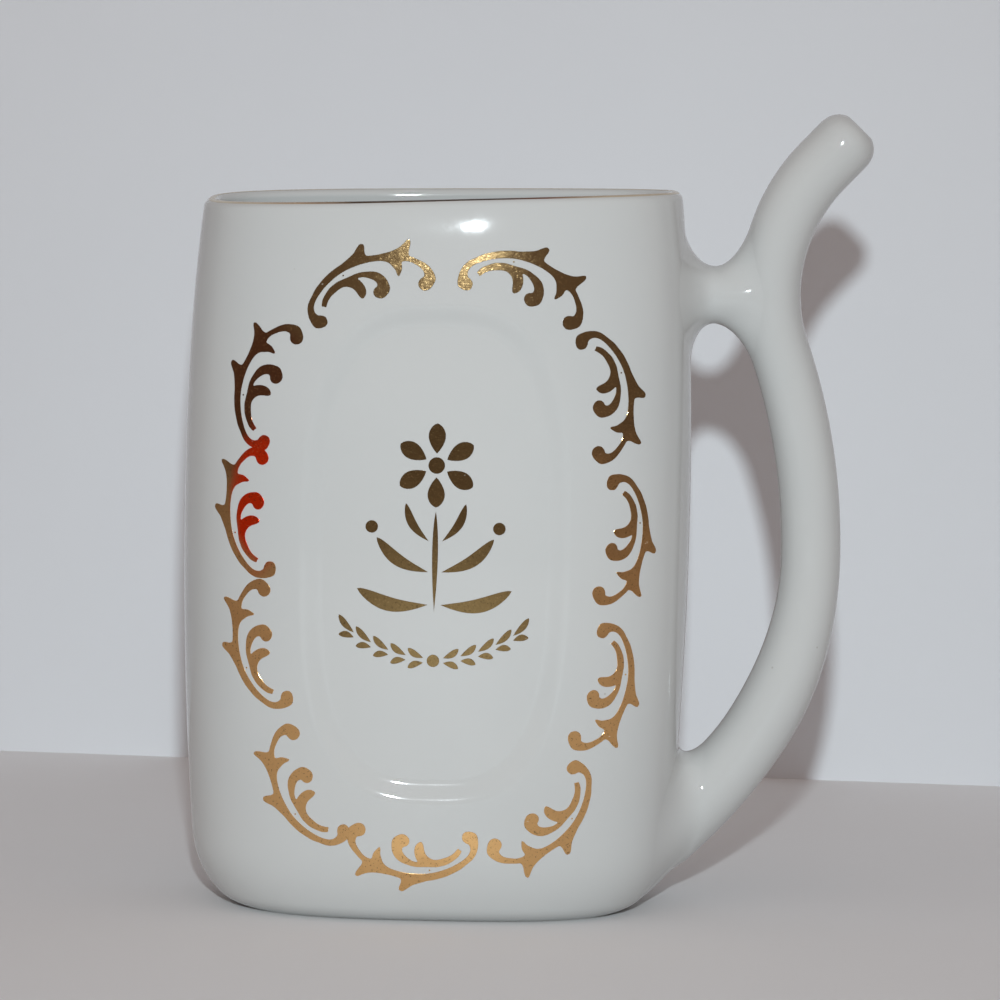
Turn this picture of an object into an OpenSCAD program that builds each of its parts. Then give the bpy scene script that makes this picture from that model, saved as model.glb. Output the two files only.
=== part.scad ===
// Spa cup: a flat porcelain flask with a wide mouth and a hollow handle to drink through.
// The origin is the middle of the foot, on the surface that the cup stands on.
// +X points to the handle, -Y is the gilded front and +Z is up. Sizes are in millimetres.

/* [Body] */
// Height of the body, at the middle of its lip
body_h = 110; // [100:1:125]
// Width of the body at its widest
body_w = 78; // [74:1:84]
// Depth of the body at its deepest, before the panels are sunk
body_d = 46; // [42:1:54]
// Height of the widest and deepest place
belly_z = 60; // [50:1:70]
// Width over the lip
rim_w = 73.2; // [70:0.2:76]
// Depth over the lip
rim_d = 40; // [36:0.5:44]
// Width of the foot
foot_w = 62.5; // [60:0.5:66]
// Depth of the foot
foot_d = 38; // [34:0.5:39]
// Height of the rounded base
base_h = 12; // [9:0.5:15]
// How far the rounded base draws in at its sides
base_in = 5; // [3.5:0.1:5.5]
// How far it draws in at the front and the back
base_in_d = 3.4; // [2.5:0.1:3.4]
// How far the lowest edge is rounded in
edge_in = 1.5; // [0.5:0.1:2]
// Height of this rounding
edge_h = 2.3; // [1.5:0.1:3]
// Squareness of the plan: 2 is an ellipse and more is squarer
plan_power = 2.8; // [2.5:0.1:3.2]
// How much higher the lip stands at the handle's side than at the other
rim_rise = 2.4; // [0:0.2:4]
// How much more the front of the lip rises than the back
rim_twist = 1.6; // [0:0.2:3]

/* [Wall] */
// Thickness of the body's wall
wall_t = 3.2; // [2.6:0.1:4.2]
// Thickness of the rounded lip
lip_t = 2.4; // [1.8:0.1:2.6]
// Height over which the wall thins down to the lip
lip_taper_h = 16; // [8:1:30]
// Height of the cup's floor inside
floor_t = 4; // [3:0.2:4.6]
// Radius that rounds the floor's edge inside
cavity_r = 9; // [6:0.5:11]
// Width of the ring that the cup stands on
foot_ring_w = 3.5; // [2.5:0.5:5]
// Depth of the hollow inside the foot ring
foot_recess = 1; // [0.4:0.1:1.6]

/* [Oval panels] */
// Width of the sunken panel on the front and on the back
panel_w = 41.3; // [40:0.1:44]
// Height of the sunken panel
panel_h = 76.1; // [70:0.1:80]
// Height of the panel's middle above the foot
panel_z = 56.7; // [54:0.1:59]
// Squareness of the panel's outline
panel_power = 3; // [2.6:0.1:3.4]
// Width of the sloping edge round the panel
bevel_w = 4; // [2:0.1:4.6]
// Depth of the panel below the face
panel_sink = 1; // [0.3:0.1:1.3]

/* [Drinking tube] */
// Distance of the tube's middle line from the cup's axis where it stands furthest out
tube_reach = 57.9; // [57:0.1:61]
// Height of that place
tube_reach_z = 54.9; // [53:0.1:57]
// Radius of the bend below it
low_bend_r = 51.6; // [51:0.1:54]
// Radius of the bend above it
high_bend_r = 94; // [90:0.5:100]
// Angle that the bend above it turns
high_turn = 20; // [18:0.5:21]
// Radius of the bend that throws the spout outwards
spout_bend_r = 27.8; // [26:0.1:30]
// Angle that this bend turns
spout_turn = 63.2; // [58:0.2:68]
// Length of the straight spout past the last bend
spout_l = 8.2; // [6:0.1:10]
// Length of the spout's domed tip
tip_l = 4.1; // [2:0.1:4.6]
// Diameter of the spout
spout_d = 9.8; // [9.2:0.1:11]
// Diameter of the tube above its widest place
neck_d = 9.2; // [8.6:0.1:10]
// Diameter of the tube where it starts to swell towards the body
low_d = 10.5; // [9.6:0.1:11.4]
// How much wider the tube is where it meets the body
root_swell = 1.9; // [1:0.1:3]
// Diameter of the passage through the tube
bore_d = 4.4; // [4:0.1:6]
// Size of the fillet under the tube where it meets the body
root_fillet = 5; // [1:0.1:6]
// Size of the fillet in the crotch above the tube's root
crotch_fillet = 6.3; // [3:0.1:7]
// Size of the fillet at the front and the back of the root
root_side_fillet = 6.5; // [3:0.1:7]

/* [Bridge] */
// Distance of the strut's middle below the lip
bridge_down = 14.6; // [13.5:0.1:16]
// Thickness of the strut, top to bottom
bridge_h = 8.9; // [7.5:0.1:10]
// Thickness of the strut, front to back
bridge_d = 8.6; // [6:0.1:8.7]
// How far the strut flares up and down where it meets its neighbours
bridge_flare = 6.6; // [3:0.1:7]
// How far it flares forward and back on the body
bridge_side_flare = 6.9; // [3:0.1:8]

/* [Gilding] */
// Thickness of the gilding
gilt_t = 0.12; // [0.1:0.01:0.2]
// Length of one scroll, between the middles of the balls at its ends
scroll_l = 16.5; // [14:0.1:17]
// Distance of the scrolls' oval from the panel's sides
wreath_side = 5.3; // [5:0.1:6]
// Distance of the scrolls' oval from the panel's ends
wreath_end = 2.8; // [2.6:0.1:3.4]
// Distance of the oval's middle below the panel's middle
wreath_down = 1; // [0:0.1:1.5]
// Width of the gilt line on the lip, measured round the lip
rim_line_w = 1.3; // [0.8:0.1:1.6]

/* [Gilt posy] */
// Radius of the flower on the panel
flower_r = 6.4; // [5:0.1:7]
// Height of the flower's middle above the panel's middle
flower_up = 13.6; // [12:0.1:14.5]
// Petals of the flower
petal_count = 6; // [5:1:7]
// Width of a petal
petal_w = 2.7; // [1.8:0.1:3.2]
// Radius of the flower's round middle
flower_eye_r = 1.3; // [0.8:0.1:1.6]
// Length of the stem under the flower
stem_l = 15.5; // [14:0.1:16.5]
// Length of the longest leaves beside the stem
leaf_l = 11; // [8:0.1:11.5]
// Width of these leaves
leaf_w = 2.3; // [1.5:0.1:3]
// Half width of the swag of leaves under the posy
swag_w = 14.6; // [12:0.1:15]
// Drop of the swag at its middle
swag_drop = 5.4; // [3:0.1:6]
// Distance of the swag's ends below the panel's middle
swag_down = 10.6; // [10:0.1:11.5]
// Pairs of leaves on each half of the swag
swag_pairs = 5; // [4:1:6]
// Width of a leaf of the swag
swag_leaf_w = 1.1; // [0.8:0.1:1.3]

/* [Hidden] */

// Colours of the glazed porcelain and the gilding
porcelain = [0.93, 0.94, 0.93];
gold = [0.72, 0.52, 0.22];

// Clearances: gilding over the glaze, and a luted piece against its neighbour
film_gap = 0.03;
luting_gap = 0.12;

// Step for slopes of a surface, in millimetres or as a share of the way
probe = 0.05;

// Curves of the side above the belly, below it and at the rounded base
rim_power = 2.4;
low_power = 2;
base_power = 2.4;
edge_power = 2.5;
// How fast the lip's slope fades out below it
lift_power = 8;

// Steps of a face along its top edge and up its side, and of the rings over the lip and inside
top_steps = 30;
side_steps = 20;
face_steps = 2 * (top_steps + side_steps);
ring_steps = 2 * top_steps;
lip_steps = 4;
lip_taper_steps = 2;
cavity_steps = 5;
floor_steps = 5;
// Shares of the way from the panel's middle to its flat's edge, and from its outline to the border
flat_shares = [0.4, 0.75, 1];
border_shares = [0.18, 0.36, 0.54, 0.7, 0.84, 0.94, 1];

// Height of a face's upper border, where the lip starts to round over
face_h = body_h - lip_t / 2;
lip_r = lip_t / 2;

function mix(a, b, t) = a + (b - a) * t;
function ease(t) = let (s = min(1, max(0, t))) s * s * (3 - 2 * s);

// Half width and half depth of the body at a height
function half_size(full, rim, foot, draw_in, z) =
    full / 2
    - (full - rim) / 2 * pow(max(0, z - belly_z) / (body_h - belly_z), rim_power)
    - ((full - foot) / 2 - draw_in) * pow(max(0, belly_z - z) / belly_z, low_power)
    - draw_in * pow(max(0, base_h - z) / base_h, base_power)
    - edge_in * pow(max(0, edge_h - z) / edge_h, edge_power);
function half_w(z) = half_size(body_w, rim_w, foot_w, base_in, z);
function half_d(z) = half_size(body_d, rim_d, foot_d, base_in_d, z);

// Superellipse: reach in a direction, and the share of one half size left over by the other
function reach(a, power) = pow(pow(abs(cos(a)), power) + pow(abs(sin(a)), power), -1 / power);
function left_over(share, power) = pow(max(0, 1 - pow(abs(share), power)), 1 / power);

// Lifts a point by the lip's slope
function lifted(p) =
    let (slope = rim_rise / 2 - rim_twist / 2 * p.y / rim_d)
    [p.x, p.y, p.z + 2 * p.x / rim_w * slope * pow(max(0, p.z) / body_h, lift_power)];

// Point in the wall: turn is 0 at the front and 90 at the handle, inset is the depth in the wall
function wall_point(turn, z, inset) =
    [(half_w(z) - inset) * reach(turn, plan_power) * sin(turn),
        -(half_d(z) - inset) * reach(turn, plan_power) * cos(turn), z];
function wall_ring(z, inset) =
    [for (i = [0:ring_steps - 1]) wall_point(360 * i / ring_steps - 90, z, inset)];

// Point of the front face at a place across and a height, sunk by a depth
function face_point(x, z, sink) =
    [x, sink - half_d(z) * left_over(x / half_w(z), plan_power), z];
function face_turn(x, z) = atan2(x / half_w(z), left_over(x / half_w(z), plan_power));

// Point of the panel's outline, drawn in by a width and then by a share
function panel_point(a, draw_in, share) =
    [(panel_w / 2 - draw_in) * cos(a) * reach(a, panel_power) * share,
        panel_z + (panel_h / 2 - draw_in) * sin(a) * reach(a, panel_power) * share];

// Border of a face as a square: along the foot, up the handle's side, back along the lip and down
corner_low = top_steps;
corner_high = corner_low + side_steps;
corner_far = corner_high + top_steps;
function border_square(i) =
    i < corner_low ? [2 * i / top_steps - 1, -1]
    : i < corner_high ? [1, 2 * (i - corner_low) / side_steps - 1]
    : i < corner_far ? [1 - 2 * (i - corner_high) / top_steps, 1]
    : [-1, 1 - 2 * (i - corner_far) / side_steps];
squares = [for (i = [0:face_steps - 1]) border_square(i)];
// Height of a step up the side: the steps are shortest at the rounded base
function side_level(t) = face_h * pow(t, 2);

function flat_ring(share) =
    [for (s = squares) let (p = panel_point(atan2(s.y, s.x), bevel_w, share))
        face_point(p.x, p.y, panel_sink)];
function bevel_ring(t) =
    [for (s = squares) let (p = panel_point(atan2(s.y, s.x), bevel_w * (1 - t), 1))
        face_point(p.x, p.y, panel_sink * (1 - ease(t)))];
function border_ring(t) =
    [for (s = squares)
        let (
            p = panel_point(atan2(s.y, s.x), 0, 1),
            turn = mix(face_turn(p.x, p.y), 90 * s.x, t),
            z = mix(p.y, side_level((s.y + 1) / 2), t)
        )
        wall_point(turn, z, 0)];

front_points = concat(
    [face_point(0, panel_z, panel_sink)],
    [for (share = flat_shares) each flat_ring(share)],
    bevel_ring(0.5),
    bevel_ring(1),
    [for (t = border_shares) each border_ring(t)]
);
back_points = [for (p = front_points) [p.x, -p.y, p.z]];
face_rings = (len(front_points) - 1) / face_steps;

// Rings from the faces' upper border over the lip and down to the floor, each as height and inset
function wall_inset(z) = mix(wall_t, lip_t, ease(1 - (face_h - z) / lip_taper_h));
floor_top = floor_t + cavity_r;
taper_end = face_h - lip_taper_h;
inner_levels = concat(
    [for (k = [1:lip_steps]) let (a = 180 * k / lip_steps)
        [face_h + lip_r * sin(a), lip_r * (1 - cos(a))]],
    [for (k = [1:lip_taper_steps]) let (z = mix(face_h, taper_end, k / lip_taper_steps))
        [z, wall_inset(z)]],
    [for (k = [1:cavity_steps]) [mix(taper_end, floor_top, k / cavity_steps), wall_t]],
    [for (k = [1:floor_steps]) let (a = 90 * k / floor_steps)
        [floor_top - cavity_r * sin(a), wall_t + cavity_r * (1 - cos(a))]]
);
foot_levels = [[0, foot_ring_w], [foot_recess, foot_ring_w + foot_recess]];

// Triangles, clockwise from outside, between two closed rings where b lies further out than a
function band(a, b) =
    let (n = len(a))
    [for (i = [0:n - 1]) let (j = (i + 1) % n) each [[a[i], a[j], b[j]], [a[i], b[j], b[i]]]];
function fan(middle, ring) =
    let (n = len(ring)) [for (i = [0:n - 1]) [middle, ring[(i + 1) % n], ring[i]]];
function flipped(faces) = [for (f = faces) [f[0], f[2], f[1]]];
function run(start, n) = [for (i = [0:n - 1]) start + i];

// Point numbers of the body: the front, the back, the rings inside and below, and two middles.
// The back shares the front's points along the left and the right border.
back_start = len(front_points);
inner_start = 2 * back_start;
foot_start = inner_start + ring_steps * len(inner_levels);
floor_middle = foot_start + ring_steps * len(foot_levels);
foot_middle = floor_middle + 1;
last_ring = 1 + (face_rings - 1) * face_steps;
function front_ring(k) = run(1 + k * face_steps, face_steps);
function on_side(i) = abs(squares[i].x) == 1;
function back_ring(k) =
    [for (i = [0:face_steps - 1])
        (k == face_rings - 1 && on_side(i) ? 0 : back_start) + 1 + k * face_steps + i];
front_border = front_ring(face_rings - 1);
back_border = back_ring(face_rings - 1);
upper_border = concat(
    [for (j = [0:top_steps - 1]) front_border[(corner_far - j) % face_steps]],
    [for (j = [0:top_steps - 1]) back_border[corner_high + j]]
);
lower_border = concat(
    [for (j = [0:top_steps - 1]) front_border[j]],
    [for (j = [0:top_steps - 1]) back_border[corner_low - j]]
);
function inner_ring(k) =
    k < 0 ? upper_border : run(inner_start + k * ring_steps, ring_steps);
function foot_ring(k) =
    k < 0 ? lower_border : run(foot_start + k * ring_steps, ring_steps);

body_points = concat(
    front_points,
    back_points,
    [for (level = inner_levels) each wall_ring(level[0], level[1])],
    [for (level = foot_levels) each wall_ring(level[0], level[1])],
    [[0, 0, floor_t], [0, 0, foot_recess]]
);
body_faces = concat(
    fan(0, front_ring(0)),
    [for (k = [1:face_rings - 1]) each band(front_ring(k - 1), front_ring(k))],
    flipped(fan(back_start, back_ring(0))),
    [for (k = [1:face_rings - 1]) each flipped(band(back_ring(k - 1), back_ring(k)))],
    [for (k = [0:len(inner_levels) - 1]) each band(inner_ring(k), inner_ring(k - 1))],
    fan(floor_middle, inner_ring(len(inner_levels) - 1)),
    [for (k = [0:len(foot_levels) - 1]) each flipped(band(foot_ring(k), foot_ring(k - 1)))],
    flipped(fan(foot_middle, foot_ring(len(foot_levels) - 1)))
);

// Middle line of the tube: angles run from the widest place, down, up, and then along the spout
tube_sides = 24;
low_middle = [tube_reach - low_bend_r, tube_reach_z];
high_middle = [tube_reach - high_bend_r, tube_reach_z];
spout_middle = high_middle + (high_bend_r + spout_bend_r) * [cos(high_turn), sin(high_turn)];
spout_lean = high_turn - spout_turn;
spout_start = spout_middle - spout_bend_r * [cos(spout_lean), sin(spout_lean)];
spout_way = [-sin(spout_lean), cos(spout_lean)];

// Radius of the tube below its widest place, and past the start of the spout's bend: it swells
// over the last stretch before the angle at which its middle line reaches the body, and for a
// share more of that stretch on its underside
low_full = 30;
swell_span = 19;
swell_most = 1.3;
swell_full = acos((body_w / 2 - low_middle.x) / low_bend_r);
swell_start = swell_full - swell_span;
function low_r(a) =
    neck_d / 2 + (low_d - neck_d) / 2 * ease(a / low_full)
    + root_swell / 2 * pow(min(swell_most, max(0, a - swell_start) / swell_span), 2);
function spout_r(a) = mix(neck_d, spout_d, ease(a / spout_turn)) / 2;

// Point of the tube's skin: middle of the bend, its signed radius, the lean of the cross-section,
// the tube's radius there and the turn round the tube, which is 0 on the side away from the body
function skin_point(middle, bend_r, lean, r, turn) =
    let (across = bend_r + r * cos(turn))
    [middle.x + across * cos(lean), r * sin(turn), middle.y + across * sin(lean)];
function low_skin(a, turn) = skin_point(low_middle, low_bend_r, -a, low_r(a), turn);
function high_skin(a, turn) = skin_point(high_middle, high_bend_r, a, neck_d / 2, turn);
function spout_skin(a, turn) =
    skin_point(spout_middle, -spout_bend_r, high_turn - a, spout_r(a), turn);
function tip_skin(along, r, turn) =
    let (across = r * cos(turn))
    [spout_start.x + spout_way.x * along + across * cos(spout_lean), r * sin(turn),
        spout_start.y + spout_way.y * along + across * sin(spout_lean)];

// The body's side that faces the handle, a little outside the true wall
function side_x(y, z) =
    (half_w(z) + luting_gap) * left_over(y / (half_d(z) + luting_gap), plan_power);
function side_point(y, z) = [side_x(y, z), y, z];
function outside(p) = p.x > side_x(p.y, p.z);
// Way along this side from a point on it, as far across and up as another point lies
function side_way(p, q) =
    [(side_x(mix(p.y, q.y, probe), mix(p.z, q.z, probe)) - p.x) / probe, q.y - p.y, q.z - p.z];
// Angle at which a line on the tube's skin runs into the body
function root_angle(turn, low = 0, high = 90, n = 0) =
    let (middle = (low + high) / 2)
    n == 24 ? middle
    : outside(low_skin(middle, turn)) ? root_angle(turn, middle, high, n + 1)
    : root_angle(turn, low, middle, n + 1);
// Point on a curve that leaves p towards q and arrives at s from r
function blend_point(p, q, r, s, t) =
    let (a = mix(p, q, t), b = mix(q, r, t), c = mix(r, s, t))
    mix(mix(a, b, t), mix(b, c, t), t);
// How far a blend's inner points lie on the way to the corner that it rounds, and how far off the
// neighbour its thin edge starts to rise
blend_pull = 0.55;
edge_rise = 0.15;

low_steps = 11;
high_steps = 7;
spout_steps = 10;
fillet_steps = 6;
tip_steps = 4;
// The spout's dome has squarer shoulders than a ball. The mouth cuts it off at an angle up the
// dome, with a narrow rim round the mouth.
tip_power = 2.5;
mouth_rim = 0.3;
tip_end = acos(pow((bore_d + 2 * mouth_rim) / spout_d, tip_power / 2));
function tip_rise(a) = pow(sin(a) / sin(tip_end), 2 / tip_power);
function tip_r(a) = spout_d / 2 * pow(cos(a), 2 / tip_power);
turns = [for (i = [0:tube_sides - 1]) -360 * i / tube_sides];
// Lowest that the fillet reaches above the foot
fillet_floor = 1.2;
function fillet_size(turn) =
    mix(mix(root_fillet, crotch_fillet, (1 - cos(turn)) / 2), root_side_fillet, pow(sin(turn), 2));
function fillet_angle(turn) = fillet_size(turn) / low_bend_r * 180 / PI;
hits = [for (turn = turns) root_angle(turn)];
function root_foot(i) =
    let (
        h = low_skin(hits[i], turns[i]),
        across = [cos(turns[i]) * cos(hits[i]), sin(turns[i]), -cos(turns[i]) * sin(hits[i])],
        q = h + fillet_size(turns[i]) * across
    )
    side_point(q.y, max(fillet_floor, q.z));
root_rim = [for (i = [0:tube_sides - 1]) root_foot(i)];
// Point of the root's fillet: 0 is its start on the tube and 1 its edge on the body
function root_blend(i, t) =
    let (
        turn = turns[i],
        start = low_skin(hits[i] - fillet_angle(turn), turn),
        corner = low_skin(hits[i], turn),
        foot = root_rim[i],
        p = blend_point(start, mix(start, corner, blend_pull),
            foot + blend_pull * side_way(foot, corner) + [edge_rise, 0, 0], foot, t)
    )
    [max(p.x, side_x(p.y, p.z)), p.y, p.z];
root_z = low_skin(hits[tube_sides / 4], 90).z;
cap_shares = [0.75, 0.5, 0.25];
function cap_ring(share) =
    [for (p = root_rim) side_point(p.y * share, mix(root_z, p.z, share))];

// Rings of the tube, from its seat on the body to the tip of the spout
tube_rings = concat(
    [for (k = [len(cap_shares) - 1:-1:0]) cap_ring(cap_shares[k])],
    [for (k = [fillet_steps:-1:1]) [for (i = [0:tube_sides - 1]) root_blend(i, k / fillet_steps)]],
    [for (k = [low_steps:-1:1])
        [for (i = [0:tube_sides - 1])
            low_skin((hits[i] - fillet_angle(turns[i])) * k / low_steps, turns[i])]],
    [for (k = [0:high_steps - 1]) [for (turn = turns) high_skin(high_turn * k / high_steps, turn)]],
    [for (k = [0:spout_steps - 1])
        [for (turn = turns) spout_skin(spout_turn * k / spout_steps, turn)]],
    [[for (turn = turns) tip_skin(0, spout_d / 2, turn)]],
    [for (k = [0:tip_steps])
        let (a = tip_end * k / tip_steps)
        [for (turn = turns)
            tip_skin(spout_l - tip_l * (1 - tip_rise(a)), tip_r(a), turn)]]
);

// Closed skin through rings that all turn the same way, with a middle point at each end
module ring_skin(rings, start, end) {
    n = len(rings[0]);
    m = len(rings);
    ids = [for (k = [0:m - 1]) run(1 + k * n, n)];
    polyhedron(
        points = concat([start], [for (ring = rings) each ring], [end]),
        faces = concat(
            fan(0, ids[0]),
            [for (k = [1:m - 1]) each band(ids[k - 1], ids[k])],
            flipped(fan(1 + m * n, ids[m - 1]))
        )
    );
}

// An arc of round passage in the plane of the tube, from one lean to another
module passage_arc(middle, bend_r, from, to) {
    translate([middle.x, 0, middle.y])
        rotate([90, 0, 0])
            rotate([0, 0, from])
                rotate_extrude(angle = to - from, $fn = 96)
                    translate([bend_r, 0]) circle(d = bore_d, $fn = 48);
}

// The passage runs from the cup's floor to the tip of the spout. Its bend in the middle is a
// skin of rings that is narrower by a step and reaches into the round bores at both ends.
port_angle = 66;
bore_step = 0.05;
bore_reach = 0.5;
port_end = 24;
core_r = bore_d / 2 - bore_step;
core_steps = 5;
core_lean = port_end + bore_reach;
core_rings = concat(
    [for (k = [core_steps:-1:1])
        [for (turn = turns)
            skin_point(low_middle, low_bend_r, -core_lean * k / core_steps, core_r, turn)]],
    [for (k = [0:high_steps - 1])
        [for (turn = turns)
            skin_point(high_middle, high_bend_r, high_turn * k / high_steps, core_r, turn)]],
    [for (k = [0:spout_steps - 1])
        [for (turn = turns)
            skin_point(spout_middle, -spout_bend_r, high_turn - spout_turn * k / spout_steps,
                core_r, turn)]],
    [[for (turn = turns) tip_skin(bore_reach, core_r, turn)]]
);
module passage() {
    passage_arc(low_middle, low_bend_r, -port_angle, -port_end);
    ring_skin(core_rings, skin_point(low_middle, low_bend_r, -core_lean, 0, 0),
        tip_skin(bore_reach, 0, 0));
    translate([spout_start.x, 0, spout_start.y])
        rotate([0, 90 - atan2(spout_way.y, spout_way.x), 0])
            cylinder(h = 2 * spout_l, d = bore_d, $fn = 48);
}

module cup_body() {
    color(porcelain)
        difference() {
            polyhedron(points = [for (p = body_points) lifted(p)], faces = body_faces);
            passage_arc(low_middle, low_bend_r, -port_angle, -port_end);
        }
}

module drinking_tube() {
    color(porcelain)
        difference() {
            ring_skin(tube_rings, side_point(0, root_z), tip_skin(spout_l, 0, 0));
            passage();
        }
}

// The tube's side that faces the body, with the clearance of the luted joint
function bend_x(middle, side, bend_r, r, y, z) =
    middle.x + side * sqrt(pow(bend_r - side * sqrt(max(0, r * r - y * y)), 2)
        - pow(z - middle.y, 2));
function tube_side_x(y, z) =
    let (
        high_x = bend_x(high_middle, 1, high_bend_r, neck_d / 2 + luting_gap, y, z),
        a = high_turn + asin((z - spout_middle.y) / (spout_bend_r + neck_d / 2))
    )
    atan2(z - high_middle.y, high_x - high_middle.x) < high_turn ? high_x
    : bend_x(spout_middle, -1, spout_bend_r, spout_r(a) + luting_gap, y, z);
function tube_side_point(y, z) = [tube_side_x(y, z), y, z];
function tube_side_way(p, q) =
    [(tube_side_x(mix(p.y, q.y, probe), mix(p.z, q.z, probe)) - p.x) / probe,
        q.y - p.y, q.z - p.z];

// Rings of the strut: over its seat on the body, across, and over its seat on the tube
bridge_steps = 7;
seat_steps = 5;
// Share of the tube's radius that the strut covers, front to back
seat_cover = 0.985;
// How much further the strut's front and back follow the tube before they leave it
seat_follow = 2.2;
bridge_z = body_h - bridge_down;
bridge_middle_x = (side_x(0, bridge_z) + tube_side_x(0, bridge_z)) / 2;
bridge_turns = [for (i = [0:tube_sides - 1]) -360 * i / tube_sides];
function bridge_place(half_depth, half_height, turn) =
    [half_depth * cos(turn), bridge_z + half_height * sin(turn)];
function plain_place(turn) = bridge_place(bridge_d / 2, bridge_h / 2, turn);
function body_seat(share, turn) =
    let (p = bridge_place(share * (bridge_d / 2 + bridge_side_flare),
        share * (bridge_h / 2 + bridge_flare), turn))
    side_point(p.x, p.y);
function tube_seat(share, turn) =
    let (p = bridge_place(share * seat_cover * neck_d / 2,
        share * (bridge_h / 2 + bridge_flare), turn))
    tube_side_point(p.x, p.y);
// Halves of the strut's skin: 0 is its edge on the body or the tube, 1 its middle
function bridge_blend(edge, way, corner, turn, rise, t) =
    let (p = plain_place(turn), middle = [bridge_middle_x, p.x, p.y])
    blend_point(edge, edge + blend_pull * way + [rise, 0, 0], mix(middle, corner, blend_pull),
        middle, t);
function body_half(turn, t) =
    let (
        edge = body_seat(1, turn),
        place = plain_place(turn),
        corner = side_point(place.x, place.y),
        p = bridge_blend(edge, side_way(edge, corner), corner, turn, edge_rise, t)
    )
    [max(p.x, side_x(p.y, p.z)), p.y, p.z];
function tube_half(turn, t) =
    let (
        edge = tube_seat(1, turn),
        place = plain_place(turn),
        corner = tube_side_point(place.x, place.y),
        follow = mix(1, seat_follow, pow(cos(turn), 2)),
        p = bridge_blend(edge, follow * tube_side_way(edge, corner), corner, turn, -edge_rise, t)
    )
    [min(p.x, tube_side_x(p.y, p.z)), p.y, p.z];
bridge_rings = concat(
    [for (k = [1:seat_steps - 1])
        [for (turn = bridge_turns) body_seat(sin(90 * k / seat_steps), turn)]],
    [for (k = [0:bridge_steps]) [for (turn = bridge_turns) body_half(turn, k / bridge_steps)]],
    [for (k = [bridge_steps - 1:-1:0]) [for (turn = bridge_turns) tube_half(turn, k / bridge_steps)]],
    [for (k = [seat_steps - 1:-1:1])
        [for (turn = bridge_turns) tube_seat(sin(90 * k / seat_steps), turn)]]
);

module bridge() {
    color(porcelain)
        ring_skin(bridge_rings, side_point(0, bridge_z), tube_side_point(0, bridge_z));
}

// The gilt line covers a stretch of the lip's rounding, measured as an angle from its outer side
rim_line_steps = 4;
rim_line_angle = 72;
rim_line_span = rim_line_w / lip_r * 180 / PI;
function lip_point(turn, a, off) =
    wall_point(turn, face_h + (lip_r + off) * sin(a), lip_r - (lip_r + off) * cos(a));
function rim_line_section(turn) =
    let (angles = [for (k = [0:rim_line_steps])
        rim_line_angle + rim_line_span * (k / rim_line_steps - 0.5)])
    concat(
        [for (a = angles) lip_point(turn, a, film_gap + gilt_t)],
        [for (k = [rim_line_steps:-1:0]) lip_point(turn, angles[k], film_gap)]
    );

module gilt_rim_line() {
    n = 2 * (rim_line_steps + 1);
    rings = [for (i = [0:ring_steps - 1]) run(i * n, n)];
    color(gold)
        polyhedron(
            points = [for (i = [0:ring_steps - 1])
                each [for (p = rim_line_section(360 * i / ring_steps)) lifted(p)]],
            faces = [for (i = [0:ring_steps - 1])
                each band(rings[i], rings[(i + 1) % ring_steps])]
        );
}

// Way round the front face, so that the gilding keeps its width where the face turns away:
// each row gives a distance along the face at the belly and the place across that it reaches
unroll_step = 0.5;
unroll_count = floor(body_w * 0.46 / unroll_step);
function unroll(i, far) =
    i > unroll_count ? []
    : let (
        x = i * unroll_step,
        p = face_point(x, belly_z, 0),
        q = face_point(x + unroll_step, belly_z, 0)
    )
    concat([[far, x]], unroll(i + 1, far + norm(q - p)));
unrolled = unroll(0, 0);
function across(s) = sign(s) * lookup(abs(s), unrolled);

// Point over the front face at a way round it and a height, sunk with the panel or not
function over_face(s, z, sink, off) =
    let (
        x = across(s),
        p = face_point(x, z, sink),
        n = cross(face_point(x + probe, z, sink) - p, face_point(x, z + probe, sink) - p)
    )
    lifted(p + n * off / norm(n));

// A film of gilding: flat points as way round and height, and triangles that run anticlockwise
function open_edges(tris) =
    let (edges = [for (t = tris) each [[t[0], t[1]], [t[1], t[2]], [t[2], t[0]]]])
    [for (e = edges) if (len([for (g = edges) if (g[0] == e[1] && g[1] == e[0]) 1]) == 0) e];
module film(places, tris, edges, sink) {
    n = len(places);
    polyhedron(
        points = concat(
            [for (p = places) over_face(p.x, p.y, sink, film_gap + gilt_t)],
            [for (p = places) over_face(p.x, p.y, sink, film_gap)]
        ),
        faces = concat(
            flipped(tris),
            [for (t = tris) [t[0] + n, t[1] + n, t[2] + n]],
            [for (e = edges) each [[e[0], e[1], e[1] + n], [e[0], e[1] + n, e[0] + n]]]
        )
    );
}

// Smooth line through rows of place and half width, and the two sides of the band that it draws
function row(rows, i) =
    i < 0 ? 2 * rows[0] - rows[1]
    : i >= len(rows) ? 2 * rows[len(rows) - 1] - rows[len(rows) - 2]
    : rows[i];
function smooth(rows, i, t) =
    let (a = row(rows, i - 1), b = row(rows, i), c = row(rows, i + 1), d = row(rows, i + 2))
    b + (c - a) * t / 2 + (2 * a - 5 * b + 4 * c - d) * t * t / 2
    + (3 * b - a - 3 * c + d) * t * t * t / 2;
function smooth_line(rows, cuts) =
    concat([for (i = [0:len(rows) - 2], k = [0:cuts - 1]) smooth(rows, i, k / cuts)],
        [rows[len(rows) - 1]]);
function side_of(line, i, side) =
    let (
        a = line[max(0, i - 1)],
        b = line[min(len(line) - 1, i + 1)],
        way = [b.x - a.x, b.y - a.y] / norm([b.x - a.x, b.y - a.y])
    )
    [line[i].x - side * way.y * line[i].z, line[i].y + side * way.x * line[i].z];
function left_side(line) = [for (i = [0:len(line) - 1]) side_of(line, i, 1)];
function right_side(line) = [for (i = [0:len(line) - 1]) side_of(line, i, -1)];
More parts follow.
